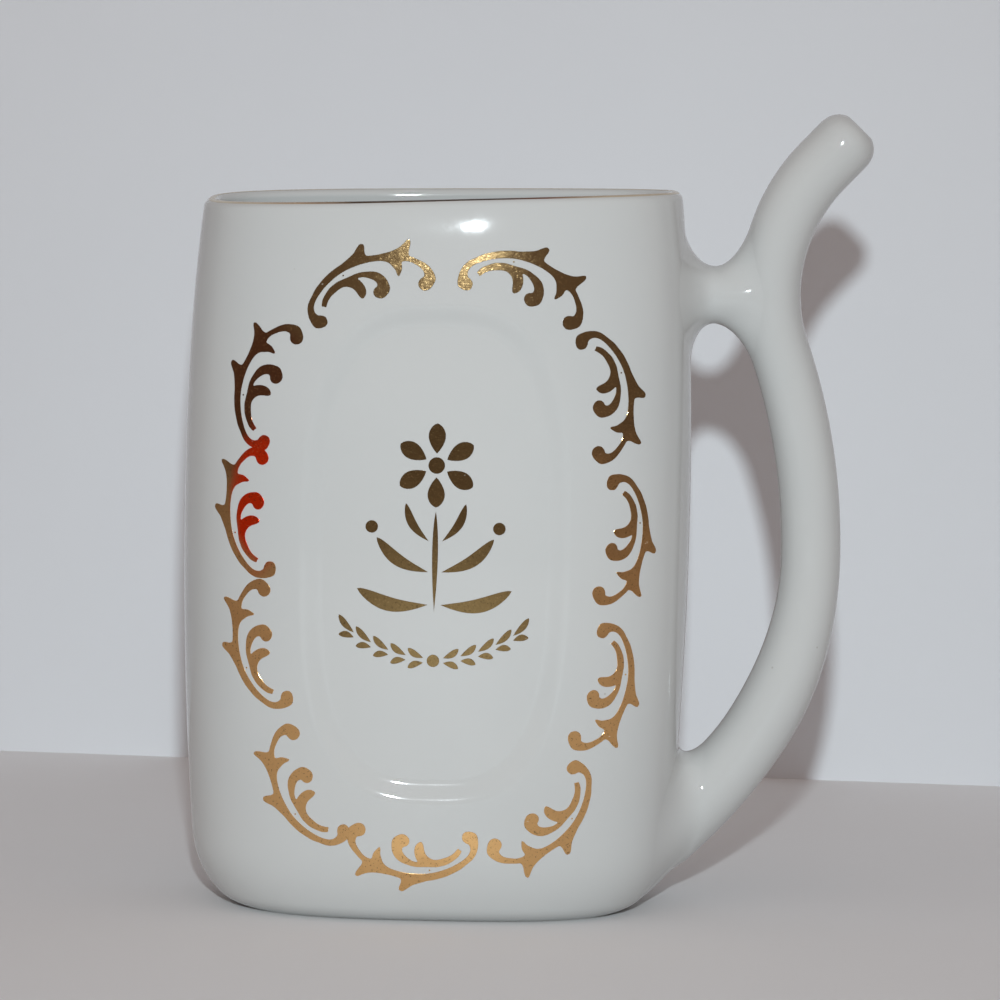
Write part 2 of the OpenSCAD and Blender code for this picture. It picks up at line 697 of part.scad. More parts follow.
function ladder(left, right) =
    [for (i = [0:len(left) - 2])
        each [[left[i], right[i], right[i + 1]], [left[i], right[i + 1], left[i + 1]]]];

// A round ball at the end of a stem, as places and as a fan of triangles over their numbers
ball_sides = 10;
ball_start = 15;
function ball(at) =
    [for (i = [0:ball_sides - 1]) let (a = ball_start + 360 / ball_sides * i)
        [at.x + at.z * cos(a), at.y + at.z * sin(a)]];
function ball_faces(start) =
    [for (i = [1:ball_sides - 2]) [start, start + i, start + i + 1]];

// The scroll's motif. The middles of its head and tail balls are at 0 and 1, and it bows upwards.
// Each row of a stem is its place along and out, and its half width. So is each row of a ball.
stem_rows = [
    [-0.064, 0.09, 0.036], [-0.045, 0.17, 0.034],
    [0, 0.231, 0.031], [0.072, 0.292, 0.032], [0.16, 0.345, 0.034],
    [0.265, 0.386, 0.036], [0.385, 0.411, 0.038], [0.495, 0.415, 0.038], [0.6, 0.404, 0.036],
    [0.7, 0.376, 0.035], [0.795, 0.346, 0.046], [0.88, 0.318, 0.056], [0.955, 0.264, 0.03],
    [1.008, 0.209, 0.028], [1.052, 0.145, 0.034], [1.076, 0.082, 0.038]
];
head_ball = [0, 0.008, 0.057];
tail_ball = [1, 0, 0.062];
// Where the stem's outer edge runs round each ball before it meets it
head_collar = [[-0.097, 0.035], [-0.08, -0.015]];
tail_collar = [[1.117, 0.035], [1.088, -0.025]];
// Spurs as the stem's row they start from, the rows they span and the side they leave on, then
// the two places that carry on their edges and the tip
spurs = [
    [6, 2, 1, [0.5, 0.508], [0.606, 0.48], [0.594, 0.557]],
    [10, 2, 1, [0.94, 0.415], [0.985, 0.35], [1.012, 0.438]],
    [10, 1, -1, [0.785, 0.225], [0.87, 0.222], [0.804, 0.147]]
];
// The small fork inside the bow: its trunk, its blunt branch and its branch with a ball
trunk_rows = [[0.072, 0.138, 0.024], [0.118, 0.192, 0.034], [0.2, 0.251, 0.037],
    [0.29, 0.272, 0.037]];
blunt_rows = [[0.371, 0.247, 0.031], [0.421, 0.217, 0.046], [0.442, 0.165, 0.049],
    [0.442, 0.118, 0.04]];
blunt_tip = [0.43, 0.076];
hook_rows = [[0.38, 0.299, 0.018], [0.46, 0.291, 0.026], [0.54, 0.271, 0.031],
    [0.607, 0.227, 0.044], [0.642, 0.172, 0.048]];
hook_ball = [0.598, 0.077, 0.064];
hook_collar = [[0.702, 0.115], [0.69, 0.062], [0.662, 0.034]];
stem_cuts = 2;

// The stem with its spurs and balls
stem_line = smooth_line(stem_rows, stem_cuts);
stem_n = len(stem_line);
head_start = 2 * stem_n;
tail_start = head_start + ball_sides;
collar_start = tail_start + ball_sides;
spur_start = collar_start + len(head_collar) + len(tail_collar);
stem_places = concat(
    left_side(stem_line), right_side(stem_line), ball(head_ball), ball(tail_ball),
    head_collar, tail_collar, [for (s = spurs) each [s[3], s[4], s[5]]]
);
function spur_faces(k) =
    let (
        s = spurs[k],
        n = s[1] * stem_cuts,
        h = floor(n / 2),
        a = (s[2] > 0 ? 0 : stem_n) + s[0] * stem_cuts,
        b = spur_start + 3 * k,
        faces = concat(
            [for (i = [0:n - 1]) [a + i, a + i + 1, i < h ? b : b + 1]],
            [[a + h, b + 1, b], [b, b + 1, b + 2]]
        )
    )
    s[2] > 0 ? faces : flipped(faces);
stem_faces = concat(
    ladder(
        concat([head_start + 6, collar_start + 1, collar_start], run(0, stem_n),
            [collar_start + 2, collar_start + 3, tail_start + 8]),
        concat([head_start + 5, head_start + 4, head_start + 3], run(stem_n, stem_n),
            [tail_start + 1, tail_start, tail_start + 9])
    ),
    ball_faces(head_start),
    ball_faces(tail_start),
    [for (k = [0:len(spurs) - 1]) each spur_faces(k)]
);
stem_edges = open_edges(stem_faces);

// The fork inside the bow, whose branches share the middle of the trunk's end
trunk_line = smooth_line(trunk_rows, stem_cuts);
blunt_line = smooth_line(blunt_rows, stem_cuts);
hook_line = smooth_line(hook_rows, stem_cuts);
trunk_n = len(trunk_line);
split = 2 * trunk_n;
blunt_start = split + 1;
blunt_n = len(blunt_line);
blunt_end = blunt_start + 2 * blunt_n;
hook_start = blunt_end + 1;
hook_n = len(hook_line);
hook_ball_start = hook_start + 2 * hook_n;
hook_collar_start = hook_ball_start + ball_sides;
trunk_end = trunk_line[trunk_n - 1];
fork_places = concat(
    left_side(trunk_line), right_side(trunk_line), [[trunk_end.x, trunk_end.y]],
    left_side(blunt_line), right_side(blunt_line), [blunt_tip],
    left_side(hook_line), right_side(hook_line), ball(hook_ball), hook_collar
);
fork_faces = concat(
    ladder(run(0, trunk_n), run(trunk_n, trunk_n)),
    [[trunk_n - 1, split - 1, split]],
    ladder(
        concat([split], run(blunt_start, blunt_n)),
        concat([split - 1], run(blunt_start + blunt_n, blunt_n))
    ),
    [[blunt_start + blunt_n - 1, blunt_end - 1, blunt_end]],
    ladder(
        concat([trunk_n - 1], run(hook_start, hook_n), run(hook_collar_start, len(hook_collar)),
            [hook_ball_start + 8]),
        concat([split], run(hook_start + hook_n, hook_n),
            [for (i = [2, 1, 0, 9]) hook_ball_start + i])
    ),
    ball_faces(hook_ball_start)
);
fork_edges = open_edges(fork_faces);

// Each scroll's place round the oval in degrees, its distance from the oval's middle as a share
// of the oval's own, and the way that it points from its head to its tail
wreath_rows = [
    [112.1, 0.977, 21.5], [64.8, 0.993, -19.3], [34.8, 0.984, -79], [5.5, 0.995, -95.5],
    [-26.2, 0.955, -103.4], [-56.2, 1, -134], [-95.2, 1.01, 177.7], [-128.2, 0.962, 119.3],
    [-160.9, 0.939, 104.3], [170.6, 0.995, 96], [145.9, 1.021, 73.7]
];
wreath_power = 2.78;
function scroll_place(k, p) =
    let (
        r = wreath_rows[k],
        far = r[1] * reach(r[0], wreath_power),
        middle = [far * cos(r[0]) * (panel_w / 2 + wreath_side),
            panel_z - wreath_down + far * sin(r[0]) * (panel_h / 2 + wreath_end)],
        u = scroll_l * (p.x - 0.5),
        v = scroll_l * p.y
    )
    middle + [u * cos(r[2]) - v * sin(r[2]), u * sin(r[2]) + v * cos(r[2])];
module gilt_scroll(k) {
    color(gold) {
        film([for (p = stem_places) scroll_place(k, p)], stem_faces, stem_edges, 0);
        film([for (p = fork_places) scroll_place(k, p)], fork_faces, fork_edges, 0);
    }
}

// A leaf between two places, bowed sideways, as a film on the panel
leaf_cuts = 8;
leaf_faces = concat(
    [[0, 2, 1]],
    [for (i = [0:leaf_cuts - 3]) let (a = 1 + 2 * i) each [[a, a + 1, a + 3], [a, a + 3, a + 2]]],
    [[2 * leaf_cuts - 3, 2 * leaf_cuts - 2, 2 * leaf_cuts - 1]]
);
leaf_edges = open_edges(leaf_faces);
module leaf(a, b, bow, width) {
    way = (b - a) / norm(b - a);
    side = [-way.y, way.x];
    function axis(t) = mix(a, b, t) + side * bow * sin(180 * t);
    function half(t) = width / 2 * pow(sin(180 * pow(t, 0.8)), 0.8);
    places = concat(
        [a],
        [for (i = [1:leaf_cuts - 1]) let (t = i / leaf_cuts)
            each [axis(t) + side * half(t), axis(t) - side * half(t)]],
        [b]
    );
    film([for (p = places) p + [0, panel_z]], leaf_faces, leaf_edges, panel_sink);
}

// A round dot on the panel
dot_sides = 16;
dot_faces = [for (i = [1:dot_sides - 2]) [0, i, i + 1]];
dot_edges = open_edges(dot_faces);
module dot(middle, r) {
    places = [for (i = [0:dot_sides - 1]) let (a = 360 * i / dot_sides) middle + r * [cos(a), sin(a)]];
    film([for (p = places) p + [0, panel_z]], dot_faces, dot_edges, panel_sink);
}

// Gap between neighbouring marks of the posy
mark_gap = 0.45;
flower_middle = [0, flower_up];

module gilt_flower() {
    color(gold) {
        dot(flower_middle, flower_eye_r);
        for (i = [0:petal_count - 1]) {
            a = 90 + 360 * i / petal_count;
            way = [cos(a), sin(a)];
            leaf(flower_middle + way * flower_r, flower_middle + way * (flower_eye_r + mark_gap), 0,
                petal_w);
        }
    }
}

// Stem and leaves of the posy: each pair of leaves has a place down the stem, a rise and a size
stem_top = flower_up - flower_r - mark_gap;
stem_w = 1;
leaf_bow = 1.2;
leaf_pairs = [[0.3, 58, 0.62], [0.6, 33, 0.86], [0.92, 12, 1]];
bud_r = 1;
bud_place = [9.6, 4.2];
module gilt_sprays() {
    color(gold) {
        leaf([0, stem_top], [0, stem_top - stem_l], 0, stem_w);
        for (side = [-1, 1], pair = leaf_pairs) {
            root = [side * (stem_w / 2 + mark_gap), stem_top - stem_l * pair[0]];
            tip = root + leaf_l * pair[2] * [side * cos(pair[1]), sin(pair[1])];
            leaf(tip, root, leaf_bow * pair[2] * side, leaf_w * pair[2]);
        }
        for (side = [-1, 1])
            dot([side * bud_place.x, bud_place.y], bud_r);
    }
}

// Swag of leaves that hangs in a bow under the posy, with a berry in its middle
berry_r = 1;
leaf_share = 0.92;
swag_splay = 1.5;
swag_root = 0.35;
function swag_point(s) = [swag_w * s, -swag_down - swag_drop * (1 - s * s)];
module gilt_swag() {
    color(gold) {
        dot(swag_point(0), berry_r);
        start = (berry_r + mark_gap) / swag_w;
        for (side = [-1, 1], i = [0:swag_pairs - 1], lean = [-1, 1]) {
            a = mix(start, 1, i / swag_pairs);
            b = mix(start, 1, (i + leaf_share) / swag_pairs);
            leaf(swag_point(side * b) + [0, swag_splay * lean],
                swag_point(side * a) + [0, swag_root * lean], 0.2 * lean * side, swag_leaf_w);
        }
    }
}

cup_body();
drinking_tube();
bridge();
gilt_rim_line();
for (k = [0:len(wreath_rows) - 1])
    gilt_scroll(k);
gilt_flower();
gilt_sprays();
gilt_swag();
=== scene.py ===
"""A porcelain spa cup: a flat flask-shaped body, a drinking tube for a handle, and gilding."""

import itertools
import logging
import math
from collections.abc import Callable, Sequence
from dataclasses import dataclass, field
from enum import Enum
from typing import Any

import bmesh
import bpy
import numpy as np
from mathutils import Matrix, Vector


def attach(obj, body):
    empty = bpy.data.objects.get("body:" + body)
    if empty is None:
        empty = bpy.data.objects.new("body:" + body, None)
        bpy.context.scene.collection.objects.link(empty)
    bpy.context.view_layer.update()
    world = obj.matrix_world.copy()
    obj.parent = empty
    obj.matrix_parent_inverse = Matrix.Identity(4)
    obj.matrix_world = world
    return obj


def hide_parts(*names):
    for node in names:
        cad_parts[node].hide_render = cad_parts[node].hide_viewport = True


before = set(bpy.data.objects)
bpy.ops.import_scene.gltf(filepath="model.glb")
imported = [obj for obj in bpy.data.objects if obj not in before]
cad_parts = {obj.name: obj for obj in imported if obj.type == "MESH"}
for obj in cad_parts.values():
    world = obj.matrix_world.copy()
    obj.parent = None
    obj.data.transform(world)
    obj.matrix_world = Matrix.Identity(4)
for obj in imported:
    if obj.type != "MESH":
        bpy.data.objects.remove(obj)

MM = 0.001
MERGE_GAP = 1e-5
MIRROR_GAP = 1e-4
BODY = "root"
log = logging.getLogger("spa_cup")

Place = tuple[float, float]
Colour = tuple[float, float, float, float]
Ring = list[Vector]
Surface = Callable[[float, float], Vector]
Mesh = bmesh.types.BMesh
Loop = list[bmesh.types.BMVert]
Material = bpy.types.Material
Piece = bpy.types.Object


class Slot(Enum):
    """The cup's finishes."""

    PORCELAIN = "porcelain"
    GILDING = "gilding"


# Small sums


def mix(a: Any, b: Any, t: float) -> Any:
    """Returns the value a share t of the way from a to b."""
    return a + (b - a) * t


def ease(t: float) -> float:
    """Returns a share from 0 to 1 that starts and stops softly."""
    s = min(1.0, max(0.0, t))
    return s * s * (3 - 2 * s)


def sin_d(a: float) -> float:
    """Returns the sine of an angle in degrees."""
    return math.sin(math.radians(a))


def cos_d(a: float) -> float:
    """Returns the cosine of an angle in degrees."""
    return math.cos(math.radians(a))


def polar(r: float, a: float) -> Vector:
    """Returns the flat place at a distance in a direction."""
    return Vector((r * cos_d(a), r * sin_d(a)))


def steps(n: int, low: float = 0.0, high: float = 1.0) -> list[float]:
    """Returns n + 1 evenly spaced values from low to high."""
    return [mix(low, high, i / n) for i in range(n + 1)]


def all_round(n: int) -> list[float]:
    """Returns n evenly spaced directions in degrees, from 0."""
    return [360 * i / n for i in range(n)]


def reach(a: float, power: float) -> float:
    """Returns how far a unit superellipse reaches in a direction in degrees."""
    return (abs(cos_d(a)) ** power + abs(sin_d(a)) ** power) ** (-1 / power)


def left_over(share: float, power: float) -> float:
    """Returns the other coordinate of a unit superellipse at a share of its half size."""
    return max(0.0, 1 - abs(share) ** power) ** (1 / power)


def blend_point(p: Vector, q: Vector, r: Vector, s: Vector, t: float) -> Vector:
    """Returns a point on the curve that leaves p towards q and arrives at s from r."""
    a, b, c = mix(p, q, t), mix(q, r, t), mix(r, s, t)
    return mix(mix(a, b, t), mix(b, c, t), t)


def way_along(surface: Surface, p: Vector, q: Vector, probe: float = 0.05) -> Vector:
    """Returns the way along a surface from p on it, as far across and up as q lies."""
    near = surface(mix(p.y, q.y, probe), mix(p.z, q.z, probe))
    return Vector(((near.x - p.x) / probe, q.y - p.y, q.z - p.z))


def smooth_loop(points: Sequence[Place], cuts: int) -> list[Place]:
    """Returns a smooth closed line through points.

    Args:
        points: the places it passes through, in order.
        cuts: the pieces that each span is cut into.

    Returns:
        The line's places.
    """
    line = []
    for i in range(len(points)):
        a, b, c, d = (Vector(points[(i + k) % len(points)]) for k in (-1, 0, 1, 2))
        for t in steps(cuts)[:-1]:
            bend = (2 * a - 5 * b + 4 * c - d) * t * t + (3 * b - a - 3 * c + d) * t**3
            line.append(tuple(b + (c - a) * t / 2 + bend / 2))
    return line


def drawn_in(points: Sequence[Place], width: float) -> list[Place]:
    """Returns a closed line drawn in by a width.

    Args:
        points: the line's places, either way round.
        width: how far it is drawn in.

    Returns:
        The drawn-in places.
    """
    spots = [Vector(p) for p in points]
    area = sum(a.x * b.y - b.x * a.y for a, b in zip(spots[-1:] + spots[:-1], spots))
    side = math.copysign(width, area)
    line = []
    for i, p in enumerate(spots):
        way = (spots[(i + 1) % len(spots)] - spots[i - 1]).normalized()
        line.append((p.x - way.y * side, p.y + way.x * side))
    return line


# Mesh work


def loop_edges(bm: Mesh, loop: Loop) -> list[bmesh.types.BMEdge]:
    """Returns the edges of a closed loop of vertices."""
    return [bm.edges.get((loop[i - 1], loop[i])) for i in range(len(loop))]


def place(loop: Loop, ring: Ring) -> None:
    """Moves a loop's vertices to a ring of points."""
    for v, p in zip(loop, ring, strict=True):
        v.co = p


def grow(bm: Mesh, loop: Loop) -> Loop:
    """Extrudes a closed loop.

    Args:
        bm: the mesh.
        loop: the loop.

    Returns:
        The new loop, in the same order.
    """
    made = bmesh.ops.extrude_edge_only(bm, edges=loop_edges(bm, loop))["geom"]
    new = {v for v in made if isinstance(v, bmesh.types.BMVert)}
    return [next(o for e in v.link_edges if (o := e.other_vert(v)) in new) for v in loop]


def close(bm: Mesh, loop: Loop) -> None:
    """Draws a loop together in its middle."""
    middle = sum((v.co for v in loop), Vector()) / len(loop)
    bmesh.ops.pointmerge(bm, verts=grow(bm, loop), merge_co=middle)


def skin(bm: Mesh, rings: Sequence[Ring]) -> list[Loop]:
    """Grows a skin through rings of as many points each.

    Args:
        bm: the mesh.
        rings: the rings in order.

    Returns:
        The first and the last loop.
    """
    made = bmesh.ops.create_circle(bm, cap_ends=False, segments=len(rings[0]), radius=1.0)
    first = loop = sorted(made["verts"], key=lambda v: math.atan2(v.co.y, v.co.x))
    place(first, rings[0])
    for ring in rings[1:]:
        loop = grow(bm, loop)
        place(loop, ring)
    return [first, loop]


def bridged(bm: Mesh, rings: Sequence[Ring]) -> None:
    """Grows a skin through rings and joins the last ring to the first."""
    edges = [e for loop in skin(bm, rings) for e in loop_edges(bm, loop)]
    bmesh.ops.bridge_loops(bm, edges=edges)


def make_object(bm: Mesh, name: str, material: Material, sharp: float = 50.0) -> Piece:
    """Turns a mesh in millimetres into an object in metres.

    Args:
        bm: the mesh, which is freed.
        name: the object's name.
        material: its finish.
        sharp: edges that turn by more than this angle in degrees stay sharp.

    Returns:
        The object, at the origin.
    """
    bmesh.ops.remove_doubles(bm, verts=bm.verts[:], dist=MERGE_GAP)
    bmesh.ops.recalc_face_normals(bm, faces=bm.faces[:])
    bmesh.ops.scale(bm, vec=(MM, MM, MM), verts=bm.verts[:])
    mesh = bpy.data.meshes.new(name)
    bm.to_mesh(mesh)
    bm.free()
    mesh.materials.append(material)
    mesh.shade_smooth()
    mesh.set_sharp_from_angle(angle=math.radians(sharp))
    made = bpy.data.objects.new(name, mesh)
    bpy.context.scene.collection.objects.link(made)
    return made


def dress(piece: Piece, node: str) -> Piece:
    """Lets a piece stand for its node.

    Args:
        piece: the finished piece.
        node: the node that it replaces.

    Returns:
        The piece.
    """
    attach(piece, BODY)
    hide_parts(node)
    log.info("%s: %d faces", piece.name, len(piece.data.polygons))
    return piece


def cut(piece: Piece, tool: Piece, sharp: float) -> None:
    """Cuts a tool's shape out of a piece, and takes the tool away.

    Args:
        piece: the piece.
        tool: the closed shape to cut away.
        sharp: edges that turn by more than this angle in degrees stay sharp.
    """
    step = piece.modifiers.new("Cut", "BOOLEAN")
    step.operation = "DIFFERENCE"
    step.solver = "EXACT"
    step.object = tool
    bpy.context.view_layer.update()
    whole = piece.evaluated_get(bpy.context.evaluated_depsgraph_get())
    old, piece.data = piece.data, bpy.data.meshes.new_from_object(whole)
    piece.modifiers.remove(step)
    bpy.data.meshes.remove(old)
    bpy.data.objects.remove(tool)
    piece.data.name = piece.name
    piece.data.set_sharp_from_angle(angle=math.radians(sharp))


# Shader work


class Value:
    """A node's output that adds Math nodes when it is used in a sum."""

    def __init__(self, graph: "Graph", socket: bpy.types.NodeSocket | None) -> None:
        """Keeps the graph and the socket."""
        self.graph = graph
        self.socket = socket

    def math(self, operation: str, a: Any, b: Any) -> "Value":
        """Adds a Math node over two values."""
        return self.graph.add("ShaderNodeMath", {"operation": operation}, {0: a, 1: b})

    def __add__(self, other: Any) -> "Value":
        """Adds."""
        return self.math("ADD", self, other)

    def __sub__(self, other: Any) -> "Value":
        """Takes away."""
        return self.math("SUBTRACT", self, other)

    def __rsub__(self, other: Any) -> "Value":
        """Is taken away."""
        return self.math("SUBTRACT", other, self)

    def __mul__(self, other: Any) -> "Value":
        """Multiplies."""
        return self.math("MULTIPLY", self, other)

    __radd__ = __add__
    __rmul__ = __mul__

    def over(self, low: float, high: float) -> "Value":
        """Returns a soft step from 0 at low to 1 at high."""
        inputs = {"Value": self, "From Min": low, "From Max": high}
        return self.graph.add("ShaderNodeMapRange", {"interpolation_type": "SMOOTHSTEP"}, inputs)


class Graph:
    """A tree of shader nodes."""

    def __init__(self, tree: bpy.types.NodeTree) -> None:
        """Clears the tree."""
        self.tree = tree
        tree.nodes.clear()

    def add(
        self,
        kind: str,
        settings: dict[str, Any] | None = None,
        inputs: dict[Any, Any] | None = None,
        out: int | str = 0,
    ) -> Value:
        """Adds a node.

        Args:
            kind: the node's type.
            settings: its settings, set first; "stops" holds a ramp's places and colours.
            inputs: the values or links of its sockets.
            out: the output that is wanted.

        Returns:
            The output.
        """
        node = self.tree.nodes.new(kind)
        for name, value in (settings or {}).items():
            if name == "stops":
                self.set_stops(node.color_ramp, value)
            else:
                setattr(node, name, value)
        for name, value in (inputs or {}).items():
            if isinstance(value, Value):
                self.tree.links.new(value.socket, node.inputs[name])
            else:
                node.inputs[name].default_value = value
        return Value(self, node.outputs[out] if node.outputs else None)

    @staticmethod
    def set_stops(ramp: bpy.types.ColorRamp, stops: Sequence[tuple[float, Colour]]) -> None:
        """Sets a colour ramp's stops.

        Args:
            ramp: the ramp.
            stops: their places and colours, in order.
        """
        while len(ramp.elements) < len(stops):
            ramp.elements.new(1.0)
        for element, (at, colour) in zip(ramp.elements, stops, strict=True):
            element.position = at
            element.color = colour

    def blend(self, share: Any, a: Any, b: Any) -> Value:
        """Returns the colour a share of the way from a to b."""
        return self.add("ShaderNodeMix", {"data_type": "RGBA"}, {0: share, 6: a, 7: b}, 2)

    def noise(self, where: Value, size: float, detail: float = 2.0, rough: float = 0.5) -> Value:
        """Returns noise whose lumps are about a size in millimetres."""
        inputs = {"Vector": where, "Scale": 1 / (size * MM), "Detail": detail, "Roughness": rough}
        return self.add("ShaderNodeTexNoise", {}, inputs)

    def grains(self, where: Value, rows: Sequence[tuple[float, int, float]]) -> Value:
        """Returns a sum of noises, each given by its size, its detail and its share."""
        return sum(self.noise(where, size, detail) * share for size, detail, share in rows)

    def where(self) -> Value:
        """Returns the place on the object."""
        return self.add("ShaderNodeTexCoord", out="Object")

    def axis(self, where: Value, name: str) -> Value:
        """Returns one coordinate of a place."""
        return self.add("ShaderNodeSeparateXYZ", {}, {"Vector": where}, name)

    def vector(self, operation: str, a: Any, b: Any = (0, 0, 0), out: str = "Vector") -> Value:
        """Adds a Vector Math node over two vectors."""
        return self.add("ShaderNodeVectorMath", {"operation": operation}, {0: a, 1: b}, out)

    def bump(self, height: Value, depth: float, strength: float = 1.0) -> Value:
        """Returns a normal from heights from 0 to 1 over a depth in millimetres."""
        inputs = {"Height": height, "Distance": depth * MM, "Strength": strength}
        return self.add("ShaderNodeBump", {}, inputs)

    def principled(self, inputs: dict[str, Any]) -> Value:
        """Returns the shader with these inputs."""
        return self.add("ShaderNodeBsdfPrincipled", {}, inputs)

    def finish(self, shader: Value, output: str = "ShaderNodeOutputMaterial") -> None:
        """Joins the shader to the output."""
        self.add(output, {}, {"Surface": shader})


def new_material(name: str) -> tuple[Material, Graph, Value]:
    """Makes an empty material.

    Args:
        name: its name.

    Returns:
        The material, its graph and the place on the object.
    """
    material = bpy.data.materials.new(name)
    material.use_nodes = True
    g = Graph(material.node_tree)
    return material, g, g.where()


@dataclass(frozen=True)
class Porcelain:
    """White hard porcelain under a clear glaze, bare on the ring it stands on."""

    colour: Colour = (0.518, 0.524, 0.515, 1)
    cool: Colour = (0.494, 0.506, 0.501, 1)
    bare: Colour = (0.50, 0.485, 0.45, 1)
    speck: Colour = (0.22, 0.18, 0.14, 1)
    cool_size: float = 34.0
    cool_edge: Place = (0.35, 0.7)
    cool_share: float = 0.6
    bare_h: float = 0.35
    bare_share: float = 0.8
    bare_rough: float = 0.4
    speck_gap: float = 7.5
    speck_edge: Place = (0.014, 0.03)
    clump_size: float = 11.0
    clump_edge: Place = (0.5, 0.62)
    speck_share: float = 0.4
    gloss: float = 0.022
    gloss_grain: tuple[tuple[float, int, float], ...] = ((16.0, 3, 0.025), (0.9, 2, 0.02))
    wave_grain: tuple[tuple[float, int, float], ...] = (
        (21.0, 1, 1.0), (3.2, 1, 0.04), (0.5, 1, 0.009),
    )
    wave_depth: float = 0.16

    def material(self) -> Material:
        """Makes the material.

        Returns:
            The material.
        """
        made, g, at = new_material("Glazed porcelain")
        cool = g.noise(at, self.cool_size, 3).over(*self.cool_edge) * self.cool_share
        colour = g.blend(cool, self.colour, self.cool)
        cells = {"Vector": at, "Scale": 1 / (self.speck_gap * MM), "Randomness": 1.0}
        dots = g.add("ShaderNodeTexVoronoi", {"feature": "F1"}, cells, "Distance")
        clumps = g.noise(at, self.clump_size, 0).over(*self.clump_edge)
        specks = (1 - dots.over(*self.speck_edge)) * clumps
        colour = g.blend(specks * self.speck_share, colour, self.speck)
        bare = 1 - g.axis(at, "Z").over(self.bare_h * MM * 0.4, self.bare_h * MM)
        gloss = g.grains(at, self.gloss_grain) + self.gloss
        inputs = {
            "Base Color": g.blend(bare * self.bare_share, colour, self.bare),
            "Roughness": gloss + bare * self.bare_rough,
            "IOR": 1.5,
            "Specular IOR Level": 0.5,
            "Normal": g.bump(g.grains(at, self.wave_grain), self.wave_depth),
        }
        g.finish(g.principled(inputs))
        return made


@dataclass(frozen=True)
class Gilding:
    """Thin burnished gold, finely pitted, with painted glints, a painted reflection that turns
    darker and browner towards the top, and a painted red reflection on the left.
    """

    ochre: Colour = (0.84, 0.505, 0.215, 1)
    # The colour of the painted dark reflection towards the top.
    dark_reflection_bronze: Colour = (0.225, 0.15, 0.07, 1)
    # A darker red-brown colour for a patch over the upper left scrolls.
    upper_left_red_brown: Colour = (0.13, 0.045, 0.022, 1)
    # The colour of the painted red reflection on the left scrolls.
    painted_red_reflection: Colour = (0.98, 0.055, 0.008, 1)
    pit: Colour = (0.10, 0.065, 0.03, 1)
    glint: Colour = (0.80, 0.58, 0.28, 1)
    glaze: Colour = (0.5, 0.5, 0.46, 1)
    # Heights over which the painted dark reflection sets in.
    painted_dark_reflection_from: float = 44.0
    painted_dark_reflection_to: float = 84.0
    # Middle and half sizes of the painted red reflection's patch.
    painted_red_reflection_middle: tuple[float, float, float] = (-27.0, -19.0, 64.5)
    painted_red_reflection_half: tuple[float, float, float] = (4.4, 30.0, 12.5)
    # Middle and half sizes of that red-brown patch.
    upper_left_red_brown_middle: tuple[float, float, float] = (-26.0, -19.0, 80.0)
    upper_left_red_brown_half: tuple[float, float, float] = (9.0, 30.0, 15.0)
    upper_left_red_brown_share: float = 0.8
    patch_edge: Place = (0.55, 1.05)
    patch_size: float = 4.0
    patch_ragged: float = 0.5
    tone_size: float = 6.0
    tone_ragged: float = 18.0
    grit_size: float = 0.34
    pit_edge: Place = (0.30, 0.43)
    pit_share: float = 0.75
    pit_rough: float = 0.12
    pit_depth: float = 0.008
    glint_edge: Place = (0.56, 0.72)
    glint_share: float = 0.3
    worn_size: float = 1.3
    worn_edge: Place = (0.70, 0.76)
    worn_share: float = 0.7
    rough: float = 0.06
    rough_size: float = 0.8
    rough_change: float = 0.07

    def material(self, name: str) -> Material:
        """Makes the material.

        Args:
            name: its name.

        Returns:
            The material.
        """
        made, g, at = new_material(name)
        # Painted dark reflection: the colour turns from ochre to dark bronze towards the top.
        high = g.axis(at, "Z") + (g.noise(at, self.tone_size, 2) - 0.5) * (self.tone_ragged * MM)
        painted_dark_reflection = high.over(self.painted_dark_reflection_from * MM, self.painted_dark_reflection_to * MM)
        # A darker red-brown patch over the upper left scrolls.
        upper_left_red_brown = self.patch(g, at, self.upper_left_red_brown_middle, self.upper_left_red_brown_half)
        # Painted red reflection: a red patch in the colour of the left scrolls.
        painted_red_reflection = self.patch(g, at, self.painted_red_reflection_middle, self.painted_red_reflection_half)
        colour = g.blend(painted_dark_reflection, self.ochre, self.dark_reflection_bronze)
        colour = g.blend(upper_left_red_brown * self.upper_left_red_brown_share, colour, self.upper_left_red_brown)
        colour = g.blend(painted_red_reflection, colour, self.painted_red_reflection)
        grit = g.noise(at, self.grit_size, 3, 0.7)
        pits = 1 - grit.over(*self.pit_edge)
        colour = g.blend(pits * self.pit_share, colour, self.pit)
        colour = g.blend(grit.over(*self.glint_edge) * self.glint_share, colour, self.glint)
        worn = g.noise(at, self.worn_size, 3, 0.7).over(*self.worn_edge) * self.worn_share
        rough = g.noise(at, self.rough_size, 3) * self.rough_change + self.rough
        inputs = {
            "Base Color": g.blend(worn, colour, self.glaze),
            "Metallic": 1 - worn,
            "Roughness": rough + pits * self.pit_rough,
            "Normal": g.bump(grit, self.pit_depth),
        }
        g.finish(g.principled(inputs))
        return made

    def patch(self, g: Graph, at: Value, middle: Sequence[float], half: Sequence[float]) -> Value:
        """Returns a soft patch.

        Args:
            g: the graph.
            at: the place on the object.
            middle: the patch's middle in millimetres.
            half: its half sizes.

        Returns:
            A share that is 1 in the patch's middle.
        """
        away = g.vector("SUBTRACT", at, tuple(c * MM for c in middle))
        away = g.vector("DIVIDE", away, tuple(c * MM for c in half))
        apart = g.vector("LENGTH", away, out="Value")
        ragged = (g.noise(at, self.patch_size, 1) - 0.5) * self.patch_ragged
        return 1 - (apart + ragged).over(*self.patch_edge)


